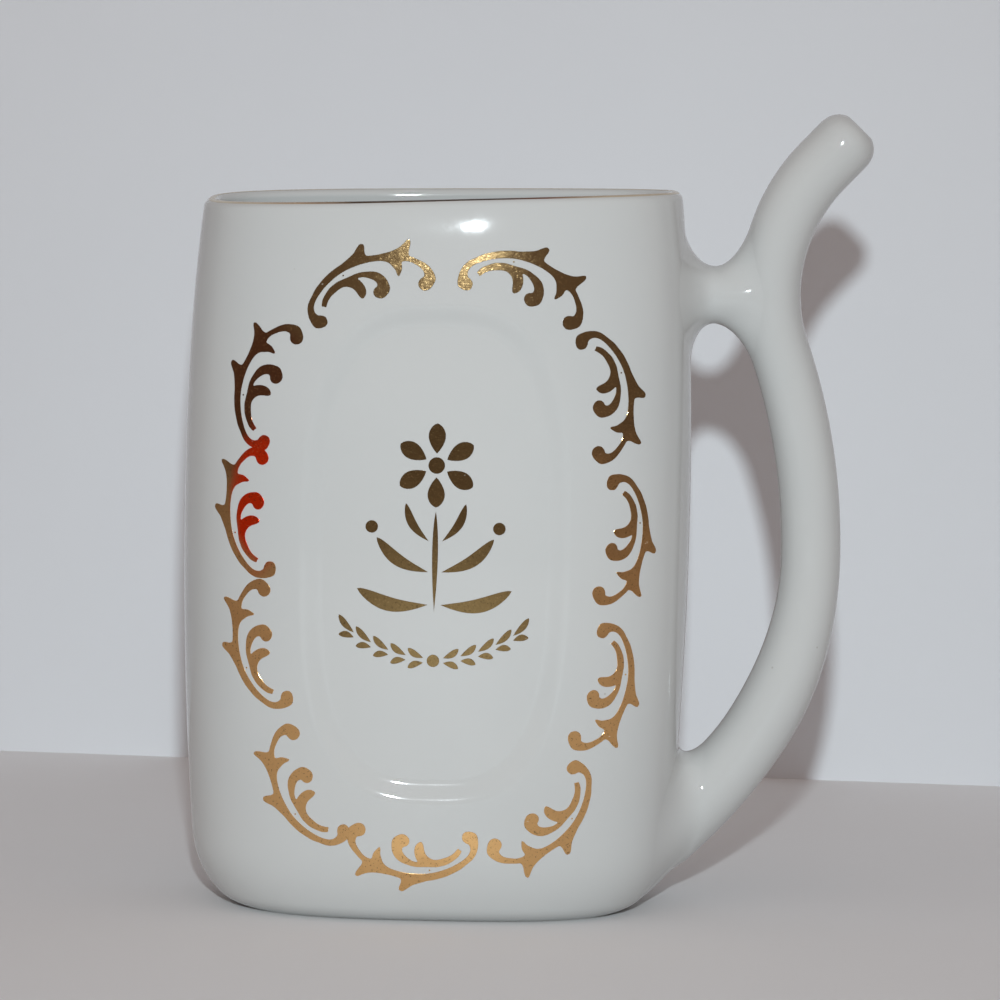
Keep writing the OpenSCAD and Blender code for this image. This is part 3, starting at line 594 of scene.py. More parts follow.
@dataclass(frozen=True)
class LineGilding:
    """The lip's thin gold: brown in the middle of the front, pale at its ends and at the back."""

    pale: Colour = (0.60, 0.54, 0.43, 1)
    stops: tuple[tuple[float, Colour], ...] = (
        (0.05, (0.60, 0.54, 0.43, 1)),
        (0.22, (0.40, 0.27, 0.16, 1)),
        (0.34, (0.075, 0.045, 0.025, 1)),
        (0.60, (0.055, 0.032, 0.02, 1)),
        (0.72, (0.16, 0.06, 0.03, 1)),
        (0.84, (0.50, 0.42, 0.31, 1)),
    )
    half: float = 36.6
    ragged_size: float = 5.0
    ragged: float = 0.12
    back: Place = (-12.0, -2.0)
    metal: float = 0.35
    rough: float = 0.16
    rough_size: float = 0.8
    rough_change: float = 0.16
    pit_size: float = 0.5
    pit_depth: float = 0.01

    def material(self) -> Material:
        """Makes the material.

        Returns:
            The material.
        """
        made, g, at = new_material("Line gilding")
        along = g.axis(at, "X") * (1 / (2 * self.half * MM)) + 0.5
        along = along + (g.noise(at, self.ragged_size, 2) - 0.5) * self.ragged
        colour = g.add("ShaderNodeValToRGB", {"stops": self.stops}, {"Fac": along})
        behind = g.axis(at, "Y").over(self.back[0] * MM, self.back[1] * MM)
        inputs = {
            "Base Color": g.blend(behind, colour, self.pale),
            "Metallic": self.metal,
            "Roughness": g.noise(at, self.rough_size, 3) * self.rough_change + self.rough,
            "Normal": g.bump(g.noise(at, self.pit_size, 3), self.pit_depth),
        }
        g.finish(g.principled(inputs))
        return made


@dataclass(frozen=True)
class Painted:
    """A plain pale surface of the surroundings, and whether its back is clear."""

    name: str
    colour: Colour
    rough: float
    specular: float
    one_sided: bool = False
    darker: float = 0.965
    tone_size: float = 60.0
    rough_size: float = 9.0
    rough_change: float = 0.08
    grain_size: float = 1.1
    grain_depth: float = 0.02

    def material(self) -> Material:
        """Makes the material.

        Returns:
            The material.
        """
        made, g, at = new_material(self.name)
        darker = tuple(c * self.darker for c in self.colour[:3]) + (1,)
        inputs = {
            "Base Color": g.blend(g.noise(at, self.tone_size, 3), darker, self.colour),
            "Roughness": g.noise(at, self.rough_size, 3) * self.rough_change + self.rough,
            "Specular IOR Level": self.specular,
            "Normal": g.bump(g.noise(at, self.grain_size, 3), self.grain_depth, 0.5),
        }
        shader = g.principled(inputs)
        if self.one_sided:
            behind = g.add("ShaderNodeNewGeometry", out="Backfacing")
            seen = g.add("ShaderNodeLightPath", out="Is Camera Ray")
            clear = g.add("ShaderNodeBsdfTransparent")
            shader = g.add("ShaderNodeMixShader", {}, {0: behind * seen, 1: shader, 2: clear})
        g.finish(shader)
        return made


# The cup's shape


@dataclass
class CupShape:
    """The surfaces of the body as functions of place, in millimetres and degrees."""

    body_h: float = 110.0
    body_w: float = 78.0
    body_d: float = 46.0
    belly_z: float = 60.0
    rim_w: float = 73.2
    rim_d: float = 40.0
    foot_w: float = 62.5
    foot_d: float = 38.0
    base_h: float = 12.0
    base_in: float = 5.0
    base_in_d: float = 3.4
    edge_in: float = 1.5
    edge_h: float = 2.3
    plan_power: float = 2.8
    rim_rise: float = 2.4
    rim_twist: float = 1.6
    lip_t: float = 2.4
    rim_power: float = 2.4
    rim_power_d: float = 1.75
    base_power: float = 2.4
    edge_power: float = 2.5
    soft_z: float = 104.0
    soft_h: float = 5.0
    soft_in: float = 0.2
    lift_power: float = 8.0
    panel_w: float = 41.3
    panel_h: float = 76.1
    panel_z: float = 56.7
    panel_power: float = 3.0
    bevel_w: float = 4.0
    panel_sink: float = 1.0
    unroll_step: float = 0.5
    unroll_reach: float = 0.46
    probe: float = 0.05
    far: np.ndarray = field(init=False)
    out: np.ndarray = field(init=False)

    def __post_init__(self) -> None:
        """Measures the way round the front face at the belly."""
        count = int(self.body_w * self.unroll_reach / self.unroll_step) + 1
        self.out = np.array([i * self.unroll_step for i in range(count)])
        spots = [self.face_point(x, self.belly_z, 0) for x in self.out]
        gaps = [(b - a).length for a, b in zip(spots, spots[1:])]
        self.far = np.concatenate([[0.0], np.cumsum(gaps)])

    def half_size(self, sizes: Sequence[float], draw_in: float, z: float, power: float) -> float:
        """Returns the half size at a height.

        Args:
            sizes: the full sizes at the belly, the rim and the foot.
            draw_in: how far the rounded base draws in.
            z: the height.
            power: the power of the curve above the belly.

        Returns:
            The half size.
        """
        full, rim, foot = sizes
        up = max(0.0, z - self.belly_z) / (self.body_h - self.belly_z)
        down = max(0.0, self.belly_z - z) / self.belly_z
        low = max(0.0, self.base_h - z) / self.base_h
        edge = max(0.0, self.edge_h - z) / self.edge_h
        above = (full - rim) / 2 * up**power
        below = ((full - foot) / 2 - draw_in) * down**2 + draw_in * low**self.base_power
        return full / 2 - above - below - self.edge_in * edge**self.edge_power

    def half_w(self, z: float) -> float:
        """Returns the half width at a height."""
        sizes = (self.body_w, self.rim_w, self.foot_w)
        return self.half_size(sizes, self.base_in, z, self.rim_power)

    def half_d(self, z: float) -> float:
        """Returns the half depth at a height, a little less under the lip.

        Args:
            z: the height.

        Returns:
            The half depth.
        """
        soft = self.soft_in * min(1.0, max(0.0, z - self.soft_z) / self.soft_h) ** 2
        sizes = (self.body_d, self.rim_d, self.foot_d)
        return self.half_size(sizes, self.base_in_d, z, self.rim_power_d) - soft

    def lifted(self, p: Vector) -> Vector:
        """Adds the lip's slope to a point.

        Args:
            p: the point on the level cup.

        Returns:
            The point, raised on the handle's side and lowered on the other.
        """
        slope = self.rim_rise / 2 - self.rim_twist / 2 * p.y / self.rim_d
        lift = 2 * p.x / self.rim_w * slope * (max(0.0, p.z) / self.body_h) ** self.lift_power
        return Vector((p.x, p.y, p.z + lift))

    def wall_point(self, turn: float, z: float, inset: float) -> Vector:
        """Returns a point in the wall, at a turn of 0 in front and of 90 at the handle."""
        way = polar(reach(turn, self.plan_power), turn)
        return Vector(((self.half_w(z) - inset) * way.y, -(self.half_d(z) - inset) * way.x, z))

    def turn_of(self, p: Vector) -> float:
        """Returns the turn of a point on the outside."""
        return math.degrees(math.atan2(p.x / self.half_w(p.z), -p.y / self.half_d(p.z)))

    def face_point(self, x: float, z: float, sink: float) -> Vector:
        """Returns a point of the front face, sunk by a depth."""
        share = left_over(x / self.half_w(z), self.plan_power)
        return Vector((x, sink - self.half_d(z) * share, z))

    def face_turn(self, x: float, z: float) -> float:
        """Returns the turn of a place on the front face."""
        share = x / self.half_w(z)
        return math.degrees(math.atan2(share, left_over(share, self.plan_power)))

    def panel_point(self, a: float, draw_in: float, share: float) -> Place:
        """Returns a place of the panel's outline, or of one like it inside it.

        Args:
            a: the direction from the panel's middle.
            draw_in: the width that the outline is drawn in by.
            share: the share that is then left of its distance from the middle.

        Returns:
            The place across and up.
        """
        way = polar(reach(a, self.panel_power) * share, a)
        high = (self.panel_h / 2 - draw_in) * way.y
        return ((self.panel_w / 2 - draw_in) * way.x, self.panel_z + high)

    def side_point(self, y: float, z: float, gap: float = 0.0) -> Vector:
        """Returns a point of the side by the handle, with a gap outside it."""
        share = left_over(y / (self.half_d(z) + gap), self.plan_power)
        return Vector(((self.half_w(z) + gap) * share, y, z))

    def over_face(self, spot: Place, sink: float, off: float) -> Vector:
        """Returns a point over the front face.

        Args:
            spot: the way round the face and the height.
            sink: the panel's depth there.
            off: the height over the glaze.

        Returns:
            The point, with the lip's slope.
        """
        x = math.copysign(float(np.interp(abs(spot[0]), self.far, self.out)), spot[0])
        z = spot[1]
        p = self.face_point(x, z, sink)
        across = self.face_point(x + self.probe, z, sink) - p
        up = self.face_point(x, z + self.probe, sink) - p
        return self.lifted(p + across.cross(up).normalized() * off)


@dataclass
class CupBody:
    """The hollow body with its two sunk panels, its lip, its foot and the port."""

    shape: CupShape
    wall_t: float = 3.2
    lip_taper_h: float = 16.0
    floor_t: float = 4.0
    cavity_r: float = 9.0
    foot_ring_w: float = 3.5
    foot_recess: float = 1.0
    top_steps: int = 96
    side_steps: int = 56
    side_power: float = 1.7
    flat_steps: int = 7
    bevel_steps: int = 20
    border_steps: int = 36
    lip_steps: int = 16
    taper_steps: int = 12
    wall_steps: int = 36
    corner_steps: int = 12
    closing_shares: tuple[float, ...] = (0.75, 2 / 3, 0.5)
    foot_shares: tuple[float, ...] = (0.2, 0.6, 1.0)
    recess_shares: tuple[Place, ...] = ((0.25, 0.4), (0.75, 1.0), (1.0, 1.6))
    sharp: float = 40.0

    def squares(self) -> list[Place]:
        """Lays places round the border of a square.

        Returns:
            The places, anticlockwise from the lower left.
        """
        top = [2 * i / self.top_steps - 1 for i in range(self.top_steps)]
        side = [2 * i / self.side_steps - 1 for i in range(self.side_steps)]
        there = [(x, -1.0) for x in top] + [(1.0, y) for y in side]
        return there + [(-x, -y) for x, y in there]

    def face_rings(self) -> list[Ring]:
        """Lays the rings of the front face.

        Returns:
            The rings, from the panel's middle to the wall's edges.
        """
        s = self.shape
        face_h = s.body_h - s.lip_t / 2
        squares = [(p, math.degrees(math.atan2(p[1], p[0]))) for p in self.squares()]
        rings = []
        for share in steps(self.flat_steps)[1:]:
            spots = [s.panel_point(a, s.bevel_w, share) for _, a in squares]
            rings.append([s.face_point(x, z, s.panel_sink) for x, z in spots])
        for t in steps(self.bevel_steps)[1:]:
            spots = [s.panel_point(a, s.bevel_w * (1 - t), 1) for _, a in squares]
            rings.append([s.face_point(x, z, s.panel_sink * (1 - ease(t))) for x, z in spots])
        for t in steps(self.border_steps)[1:]:
            ring = []
            for (sx, sy), a in squares:
                x, z = s.panel_point(a, 0, 1)
                level = face_h * ((sy + 1) / 2) ** self.side_power
                ring.append(s.wall_point(mix(s.face_turn(x, z), 90 * sx, t), mix(z, level, t), 0))
            rings.append(ring)
        return rings

    def inner_levels(self) -> list[Place]:
        """Lays the rings over the lip and down to the floor.

        Returns:
            The height and the inset of each ring.
        """
        lip_t, corner = self.shape.lip_t, self.cavity_r
        r = lip_t / 2
        face_h = self.shape.body_h - r
        taper_end = face_h - self.lip_taper_h
        floor_top = self.floor_t + corner
        lip = [
            (face_h + r * sin_d(a), r * (1 - cos_d(a)))
            for a in steps(self.lip_steps, 0, 180)[1:]
        ]
        taper = [
            (mix(face_h, taper_end, t), mix(self.wall_t, lip_t, ease(1 - t)))
            for t in steps(self.taper_steps)[1:]
        ]
        wall = [(z, self.wall_t) for z in steps(self.wall_steps, taper_end, floor_top)[1:]]
        floor = [
            (floor_top - corner * sin_d(a), self.wall_t + corner * (1 - cos_d(a)))
            for a in steps(self.corner_steps, 0, 90)[1:]
        ]
        return lip + taper + wall + floor

    def foot_levels(self) -> list[Place]:
        """Lays the rings of the foot.

        Returns:
            The height and the inset of each ring.
        """
        w, r = self.foot_ring_w, self.foot_recess
        ring = [(0, w * share) for share in self.foot_shares]
        return ring + [(r * up, w + r * inwards) for up, inwards in self.recess_shares]

    def border(self, bm: Mesh, upper: bool) -> Loop:
        """Finds an open loop of the wall.

        Args:
            bm: the mesh.
            upper: whether it is the upper loop.

        Returns:
            The loop, in order of its turn.
        """
        middle = self.shape.body_h / 2
        rim = {v for e in bm.edges if e.is_boundary for v in e.verts}
        rim = [v for v in rim if (v.co.z > middle) == upper]
        return sorted(rim, key=lambda v: round(self.shape.turn_of(v.co), 4))

    def carry_on(self, bm: Mesh, loop: Loop, levels: Sequence[Place]) -> None:
        """Carries the wall on from a loop through levels, and closes it in the middle.

        Args:
            bm: the mesh.
            loop: the open loop.
            levels: the height and inset of each further ring.
        """
        turns = [self.shape.turn_of(v.co) for v in loop]
        for z, inset in levels:
            loop = grow(bm, loop)
            place(loop, [self.shape.wall_point(turn, z, inset) for turn in turns])
        middle = Vector((0, 0, levels[-1][0]))
        for share in self.closing_shares:
            ring = [mix(middle, v.co, share) for v in loop]
            loop = grow(bm, loop)
            place(loop, ring)
        close(bm, loop)

    def build(self, material: Material, port: Piece) -> Piece:
        """Makes the body.

        Args:
            material: its finish.
            port: the shape that cuts the port through the wall.

        Returns:
            The piece.
        """
        bm = bmesh.new()
        close(bm, skin(bm, self.face_rings())[0])
        geom = bm.verts[:] + bm.edges[:] + bm.faces[:]
        same = Matrix.Identity(4)
        bmesh.ops.mirror(bm, geom=geom, matrix=same, merge_dist=MIRROR_GAP, axis="Y")
        self.carry_on(bm, self.border(bm, True), self.inner_levels())
        self.carry_on(bm, self.border(bm, False), self.foot_levels())
        for v in bm.verts:
            v.co = self.shape.lifted(v.co)
        made = make_object(bm, "Flask_body", material, self.sharp)
        cut(made, port, self.sharp)
        return dress(made, "cup_body")


@dataclass
class DrinkingTube:
    """The hollow handle: it leaves the foot of the body, swings up and ends in a spout."""

    shape: CupShape
    tube_reach: float = 57.9
    tube_reach_z: float = 54.9
    low_bend_r: float = 51.6
    high_bend_r: float = 94.0
    high_turn: float = 20.0
    spout_bend_r: float = 27.8
    spout_turn: float = 63.2
    spout_l: float = 8.1
    tip_l: float = 4.1
    tip_power: float = 2.5
    spout_d: float = 9.8
    neck_d: float = 9.2
    low_d: float = 10.5
    low_full: float = 30.0
    root_swell: float = 1.9
    swell_span: float = 19.0
    swell_most: float = 1.3
    bore_d: float = 4.4
    mouth_round: float = 0.4
    root_fillet: float = 5.0
    crotch_fillet: float = 6.3
    root_side_fillet: float = 6.5
    fillet_floor: float = 1.2
    blend_pull: float = 0.55
    sunk: float = -0.015
    plug: float = -0.4
    port_gap: float = 0.02
    port_span: Place = (46.0, 66.0)
    sides: int = 96
    hit_steps: int = 30
    plug_shares: tuple[float, ...] = (0.62, 0.74, 0.86, 0.95)
    fillet_steps: int = 24
    low_steps: int = 60
    high_steps: int = 34
    spout_steps: int = 40
    straight_steps: int = 8
    dome_steps: int = 20
    mouth_steps: int = 6
    bore_steps: tuple[int, ...] = (4, 20, 14, 26)
    port_steps: int = 18
    sharp: float = 70.0

    def __post_init__(self) -> None:
        """Works out the middles of the bends."""
        self.low_middle = Vector((self.tube_reach - self.low_bend_r, self.tube_reach_z))
        self.high_middle = Vector((self.tube_reach - self.high_bend_r, self.tube_reach_z))
        apart = polar(self.high_bend_r + self.spout_bend_r, self.high_turn)
        self.spout_middle = self.high_middle + apart
        self.spout_lean = self.high_turn - self.spout_turn
        self.spout_start = self.spout_middle - polar(self.spout_bend_r, self.spout_lean)
        self.turns = all_round(self.sides)
        far = (self.shape.body_w / 2 - self.low_middle.x) / self.low_bend_r
        self.swell_start = math.degrees(math.acos(far)) - self.swell_span

    def fillet_size(self, turn: float) -> float:
        """Returns the size of the root's fillet at a turn round the tube."""
        ends = mix(self.root_fillet, self.crotch_fillet, (1 - cos_d(turn)) / 2)
        return mix(ends, self.root_side_fillet, sin_d(turn) ** 2)

    def low_r(self, a: float) -> float:
        """Returns the tube's radius below its widest place.

        Args:
            a: the angle below that place.

        Returns:
            The radius.
        """
        swell = min(self.swell_most, max(0.0, a - self.swell_start) / self.swell_span)
        full = mix(self.neck_d, self.low_d, ease(a / self.low_full))
        return (full + self.root_swell * swell**2) / 2

    def spout_r(self, a: float) -> float:
        """Returns the tube's radius at an angle of the spout's bend."""
        return mix(self.neck_d, self.spout_d, ease(a / self.spout_turn)) / 2

    @staticmethod
    def skin_point(middle: Vector, bend_r: float, lean: float, r: float, turn: float) -> Vector:
        """Returns a point on the skin of a bend.

        Args:
            middle: the bend's middle.
            bend_r: its radius, with a sign.
            lean: the lean of the cross-section.
            r: the tube's radius there.
            turn: the turn round the tube, 0 on the side away from the body.

        Returns:
            The point.
        """
        flat = middle + polar(bend_r + r * cos_d(turn), lean)
        return Vector((flat.x, r * sin_d(turn), flat.y))

    def ring(self, middle: Vector, bend_r: float, lean: float, r: float) -> Ring:
        """Returns a ring of a bend, where the cross-section leans by an angle."""
        return [self.skin_point(middle, bend_r, lean, r, turn) for turn in self.turns]

    def low_ring(self, a: float, r: float) -> Ring:
        """Returns a ring below the widest place."""
        return self.ring(self.low_middle, self.low_bend_r, -a, r)

    def high_ring(self, a: float, r: float) -> Ring:
        """Returns a ring of the upper bend."""
        return self.ring(self.high_middle, self.high_bend_r, a, r)

    def spout_ring(self, a: float, r: float) -> Ring:
        """Returns a ring of the spout's bend."""
        return self.ring(self.spout_middle, -self.spout_bend_r, self.high_turn - a, r)

    def tip_ring(self, along: float, r: float) -> Ring:
        """Returns a ring of the straight spout."""
        middle = self.spout_start + polar(along, self.spout_lean + 90)
        return self.ring(middle, 0, self.spout_lean, r)

    def low_point(self, a: float, turn: float, r: float | None = None) -> Vector:
        """Returns a point below the widest place, on the skin or at another radius."""
        r = self.low_r(a) if r is None else r
        return self.skin_point(self.low_middle, self.low_bend_r, -a, r, turn)

    def seat_point(self, y: float, z: float) -> Vector:
        """Returns a point of the body's side, as far inside it as the tube's edge is sunk."""
        return self.shape.side_point(y, z, self.sunk)

    def hit(self, turn: float, gap: float, r: float | None = None) -> float:
        """Returns the angle at which a line along the tube runs into the body.

        Args:
            turn: the line's turn round the tube.
            gap: how far outside the body's side the line stops.
            r: the line's distance from the tube's middle, if it isn't on the skin.

        Returns:
            The angle in degrees.
        """
        low, high = 0.0, 90.0
        for _ in range(self.hit_steps):
            a = (low + high) / 2
            p = self.low_point(a, turn, r)
            if p.x > self.shape.side_point(p.y, p.z, gap).x:
                low = a
            else:
                high = a
        return (low + high) / 2

    def root_rings(self) -> list[Ring]:
        """Lays the rings of the root and of the tube below its widest place.

        Returns:
            The rings, from inside the body's wall, over the fillet and up the tube.
        """
        starts, lines = [], []
        for turn in self.turns:
            a, size = self.hit(turn, self.sunk), self.fillet_size(turn)
            h = self.low_point(a, turn)
            q = h + size * Vector((cos_d(turn) * cos_d(a), sin_d(turn), -cos_d(turn) * sin_d(a)))
            foot = self.seat_point(q.y, max(self.fillet_floor, q.z))
            along = way_along(self.seat_point, foot, h) * self.blend_pull
            starts.append(a - math.degrees(size / self.low_bend_r))
            start = self.low_point(starts[-1], turn)
            lines.append((start, mix(start, h, self.blend_pull), foot + along, foot))
        middle_z = self.low_point(self.hit(90, self.sunk), 0, 0).z
        side = self.shape.side_point
        rings = [
            [side(f.y * share, mix(middle_z, f.z, share), self.plug) for *_, f in lines]
            for share in self.plug_shares
        ]
        for t in steps(self.fillet_steps, 1, 0):
            ring = [blend_point(*line, t) for line in lines]
            for p in ring:
                p.x = max(p.x, self.seat_point(p.y, p.z).x)
            rings.append(ring)
        for share in steps(self.low_steps, 1, 0)[1:]:
            rings.append([self.low_point(a * share, turn) for turn, a in zip(self.turns, starts)])
        return rings

    def outer_rings(self) -> list[Ring]:
        """Lays the rings of the outside above the widest place.

        Returns:
            The rings, up to the spout's end.
        """
        flat_end, r = self.spout_l - self.tip_l, self.spout_d / 2
        high = steps(self.high_steps, 0, self.high_turn)[1:]
        bend = steps(self.spout_steps, 0, self.spout_turn)[1:]
        rings = [self.high_ring(a, self.neck_d / 2) for a in high]
        rings += [self.spout_ring(a, self.spout_r(a)) for a in bend]
        rings += [self.tip_ring(d, r) for d in steps(self.straight_steps, 0, flat_end)[1:]]
        k = 2 / self.tip_power
        mouth = (self.bore_d / 2 + self.mouth_round) / r
        end = math.degrees(math.acos(mouth ** (1 / k)))
        for a in steps(self.dome_steps, 0, end)[1:-1]:
            along = flat_end + self.tip_l * (sin_d(a) / sin_d(end)) ** k
            rings.append(self.tip_ring(along, r * cos_d(a) ** k))
        return rings

    def bore_rings(self) -> list[Ring]:
        """Lays the rings of the passage.

        Returns:
            The rings, from the spout's end down to the port.
        """
        r, m = self.bore_d / 2, self.mouth_round
        tip, bend, high, low = self.bore_steps
        rings = [
            self.tip_ring(self.spout_l - m * (1 - cos_d(a)), r + m * (1 - sin_d(a)))
            for a in steps(self.mouth_steps, 0, 90)
        ]
        rings += [self.tip_ring(d, r) for d in steps(tip, self.spout_l - m, 0)[1:]]
        rings += [self.spout_ring(a, r) for a in steps(bend, self.spout_turn, 0)[1:]]
        rings += [self.high_ring(a, r) for a in steps(high, self.high_turn, 0)[1:]]
        ends = [(turn, self.hit(turn, self.plug, r)) for turn in self.turns]
        for share in steps(low)[1:]:
            rings.append([self.low_point(a * share, turn, r) for turn, a in ends])
        return rings

    def port(self) -> Piece:
        """Makes the shape that cuts the port through the body's wall.

        Returns:
            The closed shape, as an object.
        """
        bm = bmesh.new()
        r = self.bore_d / 2 + self.port_gap
        rings = [self.low_ring(a, r) for a in steps(self.port_steps, *self.port_span)]
        for loop in skin(bm, rings):
            bmesh.ops.edgeloop_fill(bm, edges=loop_edges(bm, loop))
        return make_object(bm, "Port_tool", bpy.data.materials.new("Port tool"))

    def build(self, material: Material) -> Piece:
        """Makes the tube.

        Args:
            material: its finish.

        Returns:
            The piece.
        """
        bm = bmesh.new()
        bridged(bm, self.root_rings() + self.outer_rings() + self.bore_rings())
        made = make_object(bm, "Tube_handle", material, self.sharp)
        return dress(made, "drinking_tube")

    def side_near_body(self, y: float, z: float, gap: float) -> Vector:
        """Returns a point of the tube's side that faces the body.

        Args:
            y: the place front to back.
            z: the height.
            gap: how far outside the tube it is.

        Returns:
            The point.
        """
        r = self.neck_d / 2 + gap
        up = z - self.high_middle.y
        bend_r = self.high_bend_r - math.sqrt(max(0.0, r * r - y * y))
        x = self.high_middle.x + math.sqrt(bend_r**2 - up * up)
        if math.degrees(math.atan2(up, x - self.high_middle.x)) >= self.high_turn:
            down = z - self.spout_middle.y
            lean = math.degrees(math.asin(down / (self.spout_bend_r + self.neck_d / 2)))
            r = self.spout_r(self.high_turn + lean) + gap
            bend_r = self.spout_bend_r + math.sqrt(max(0.0, r * r - y * y))
            x = self.spout_middle.x - math.sqrt(bend_r**2 - down * down)
        return Vector((x, y, z))


@dataclass
class Bridge:
    """The short strut from the body's shoulder to the tube, flared at both ends."""

    shape: CupShape
    tube: DrinkingTube
    bridge_z: float = 95.4
    bridge_h: float = 8.9
    bridge_d: float = 8.6
    bridge_flare: float = 6.6
    bridge_side_flare: float = 6.9
    seat_cover: float = 0.985
    seat_follow: float = 2.2
    sides: int = 96
    bend_steps: int = 24
    seat_steps: int = 5
    sharp: float = 70.0

    def spots(self, half_depth: float, half_height: float) -> list[Place]:
        """Returns the places round the strut's section of a half size."""
        turns = all_round(self.sides)
        return [(half_depth * cos_d(t), self.bridge_z + half_height * sin_d(t)) for t in turns]

    def on_body(self, y: float, z: float) -> Vector:
        """Returns a point of the body's side, as far inside it as the strut's edge is sunk."""
        return self.shape.side_point(y, z, self.tube.sunk)

    def on_tube(self, y: float, z: float) -> Vector:
        """Returns a point of the tube's side, as far inside it as the strut's edge is sunk."""
        return self.tube.side_near_body(y, z, self.tube.sunk)

    def half(self, surface: Surface, half_depth: float, middles: Ring, follow: float) -> list[Ring]:
        """Returns one half of the strut.

        Args:
            surface: gives a point of the neighbour's side.
            half_depth: half the depth of the seat on it.
            middles: the points of the strut's middle.
            follow: how much further the front and the back follow the neighbour.

        Returns:
            The rings from the middle of the seat to the middle of the strut.
        """
        half_height, pull = self.bridge_h / 2 + self.bridge_flare, self.tube.blend_pull
        rings = []
        for t in steps(self.seat_steps)[1:]:
            share = sin_d(90 * t)
            rings.append([surface(*p) for p in self.spots(share * half_depth, share * half_height)])
        lines = []
        for edge, middle in zip(rings.pop(), middles):
            corner = surface(middle.y, middle.z)
            side = min(1.0, abs(middle.y) / (self.bridge_d / 2)) ** 2
            leave = edge + way_along(surface, edge, corner) * pull * mix(1, follow, side)
            lines.append((edge, leave, mix(middle, corner, pull), middle))
        return rings + [[blend_point(*line, t) for line in lines] for t in steps(self.bend_steps)]

    def build(self, material: Material) -> Piece:
        """Makes the strut.

        Args:
            material: its finish.

        Returns:
            The piece.
        """
        body_x = self.shape.side_point(0, self.bridge_z).x
        middle_x = (body_x + self.tube.side_near_body(0, self.bridge_z, 0).x) / 2
        plain = self.spots(self.bridge_d / 2, self.bridge_h / 2)
        middles = [Vector((middle_x, y, z)) for y, z in plain]
        by_body = self.bridge_d / 2 + self.bridge_side_flare
        by_tube = self.seat_cover * self.tube.neck_d / 2
        rings = self.half(self.on_body, by_body, middles, 1)
        rings += self.half(self.on_tube, by_tube, middles, self.seat_follow)[-2::-1]
        bm = bmesh.new()
        for loop in skin(bm, rings):
            close(bm, loop)
        made = make_object(bm, "Strut", material, self.sharp)
        return dress(made, "bridge")


# The gilding


@dataclass
class RimLine:
    """The gilt line that covers a stretch of the lip's rounding."""

    shape: CupShape
    width: float = 1.0
    thick: float = 0.06
    sunk: float = 0.024
    middle: float = 80.0
    edge_share: float = 0.35
    waves: tuple[tuple[float, int, float], ...] = ((3.0, 3, 40.0), (2.0, 7, 0.0))
    sides: int = 384
    section_sides: int = 20
    sharp: float = 80.0

    def section(self, turn: float) -> Ring:
        """Lays the line's cross-section.

        Args:
            turn: the turn round the lip.

        Returns:
            The points round it.
        """
        s = self.shape
        lip_r = s.lip_t / 2
        wave = sum(size * sin_d(turn * count + start) for size, count, start in self.waves)
        span = math.degrees(self.width / lip_r)
        ring = []
        for a in all_round(self.section_sides):
            bend = self.middle + wave + span / 2 * cos_d(a)
            rise = mix(self.edge_share, 1, max(0.0, sin_d(a)))
            r = lip_r + rise * (self.thick if a < 180 else -self.sunk)
            z = s.body_h - lip_r + r * sin_d(bend)
            ring.append(s.lifted(s.wall_point(turn, z, lip_r - r * cos_d(bend))))
        return ring

    def build(self, material: Material) -> Piece:
        """Makes the line.

        Args:
            material: its finish.

        Returns:
            The piece.
        """
        bm = bmesh.new()
        bridged(bm, [self.section(turn) for turn in all_round(self.sides)])
        made = make_object(bm, "Rim_line", material, self.sharp)
        return dress(made, "gilt_rim_line")


@dataclass
class Film:
    """A thin layer of gilding over the front face, cut to outlines."""

    shape: CupShape
    material: Material
    top: float = 0.06
    shoulder: float = 0.045
    bottom: float = -0.05
    edge: float = 0.03
    trim: float = 0.06
    sharp: float = 12.0

    def build(self, outlines: Sequence[list[Place]], sink: float, name: str, node: str) -> Piece:
        """Makes a film.

        Args:
            outlines: closed lines, each as way round the face and height.
            sink: the panel's depth under it.
            name: the piece's name.
            node: the node that it replaces.

        Returns:
            The piece.
        """
        bm = bmesh.new()
        for outline in outlines:
            loop = [bm.verts.new((s, z, 0)) for s, z in drawn_in(outline, self.trim)]
            edges = [bm.edges.new((loop[i - 1], loop[i])) for i in range(len(loop))]
            bmesh.ops.triangle_fill(bm, use_beauty=True, use_dissolve=False, edges=edges)
        faces = bm.faces[:]
        bmesh.ops.recalc_face_normals(bm, faces=faces)
        if sum(f.normal.z for f in faces) < 0:
            bmesh.ops.reverse_faces(bm, faces=faces)
        outer = set(bm.verts)
        back = bmesh.ops.extrude_face_region(bm, geom=faces)["geom"]
        front = [f for f in back if isinstance(f, bmesh.types.BMFace)]
        bmesh.ops.inset_region(bm, faces=front, thickness=self.edge, use_even_offset=False)
        raised = {v for f in front for v in f.verts}
        for v in bm.verts:
            off = self.bottom if v in outer else self.top if v in raised else self.shoulder
            v.co = self.shape.over_face((v.co.x, v.co.y), sink, off)
        return dress(make_object(bm, name, self.material, self.sharp), node)


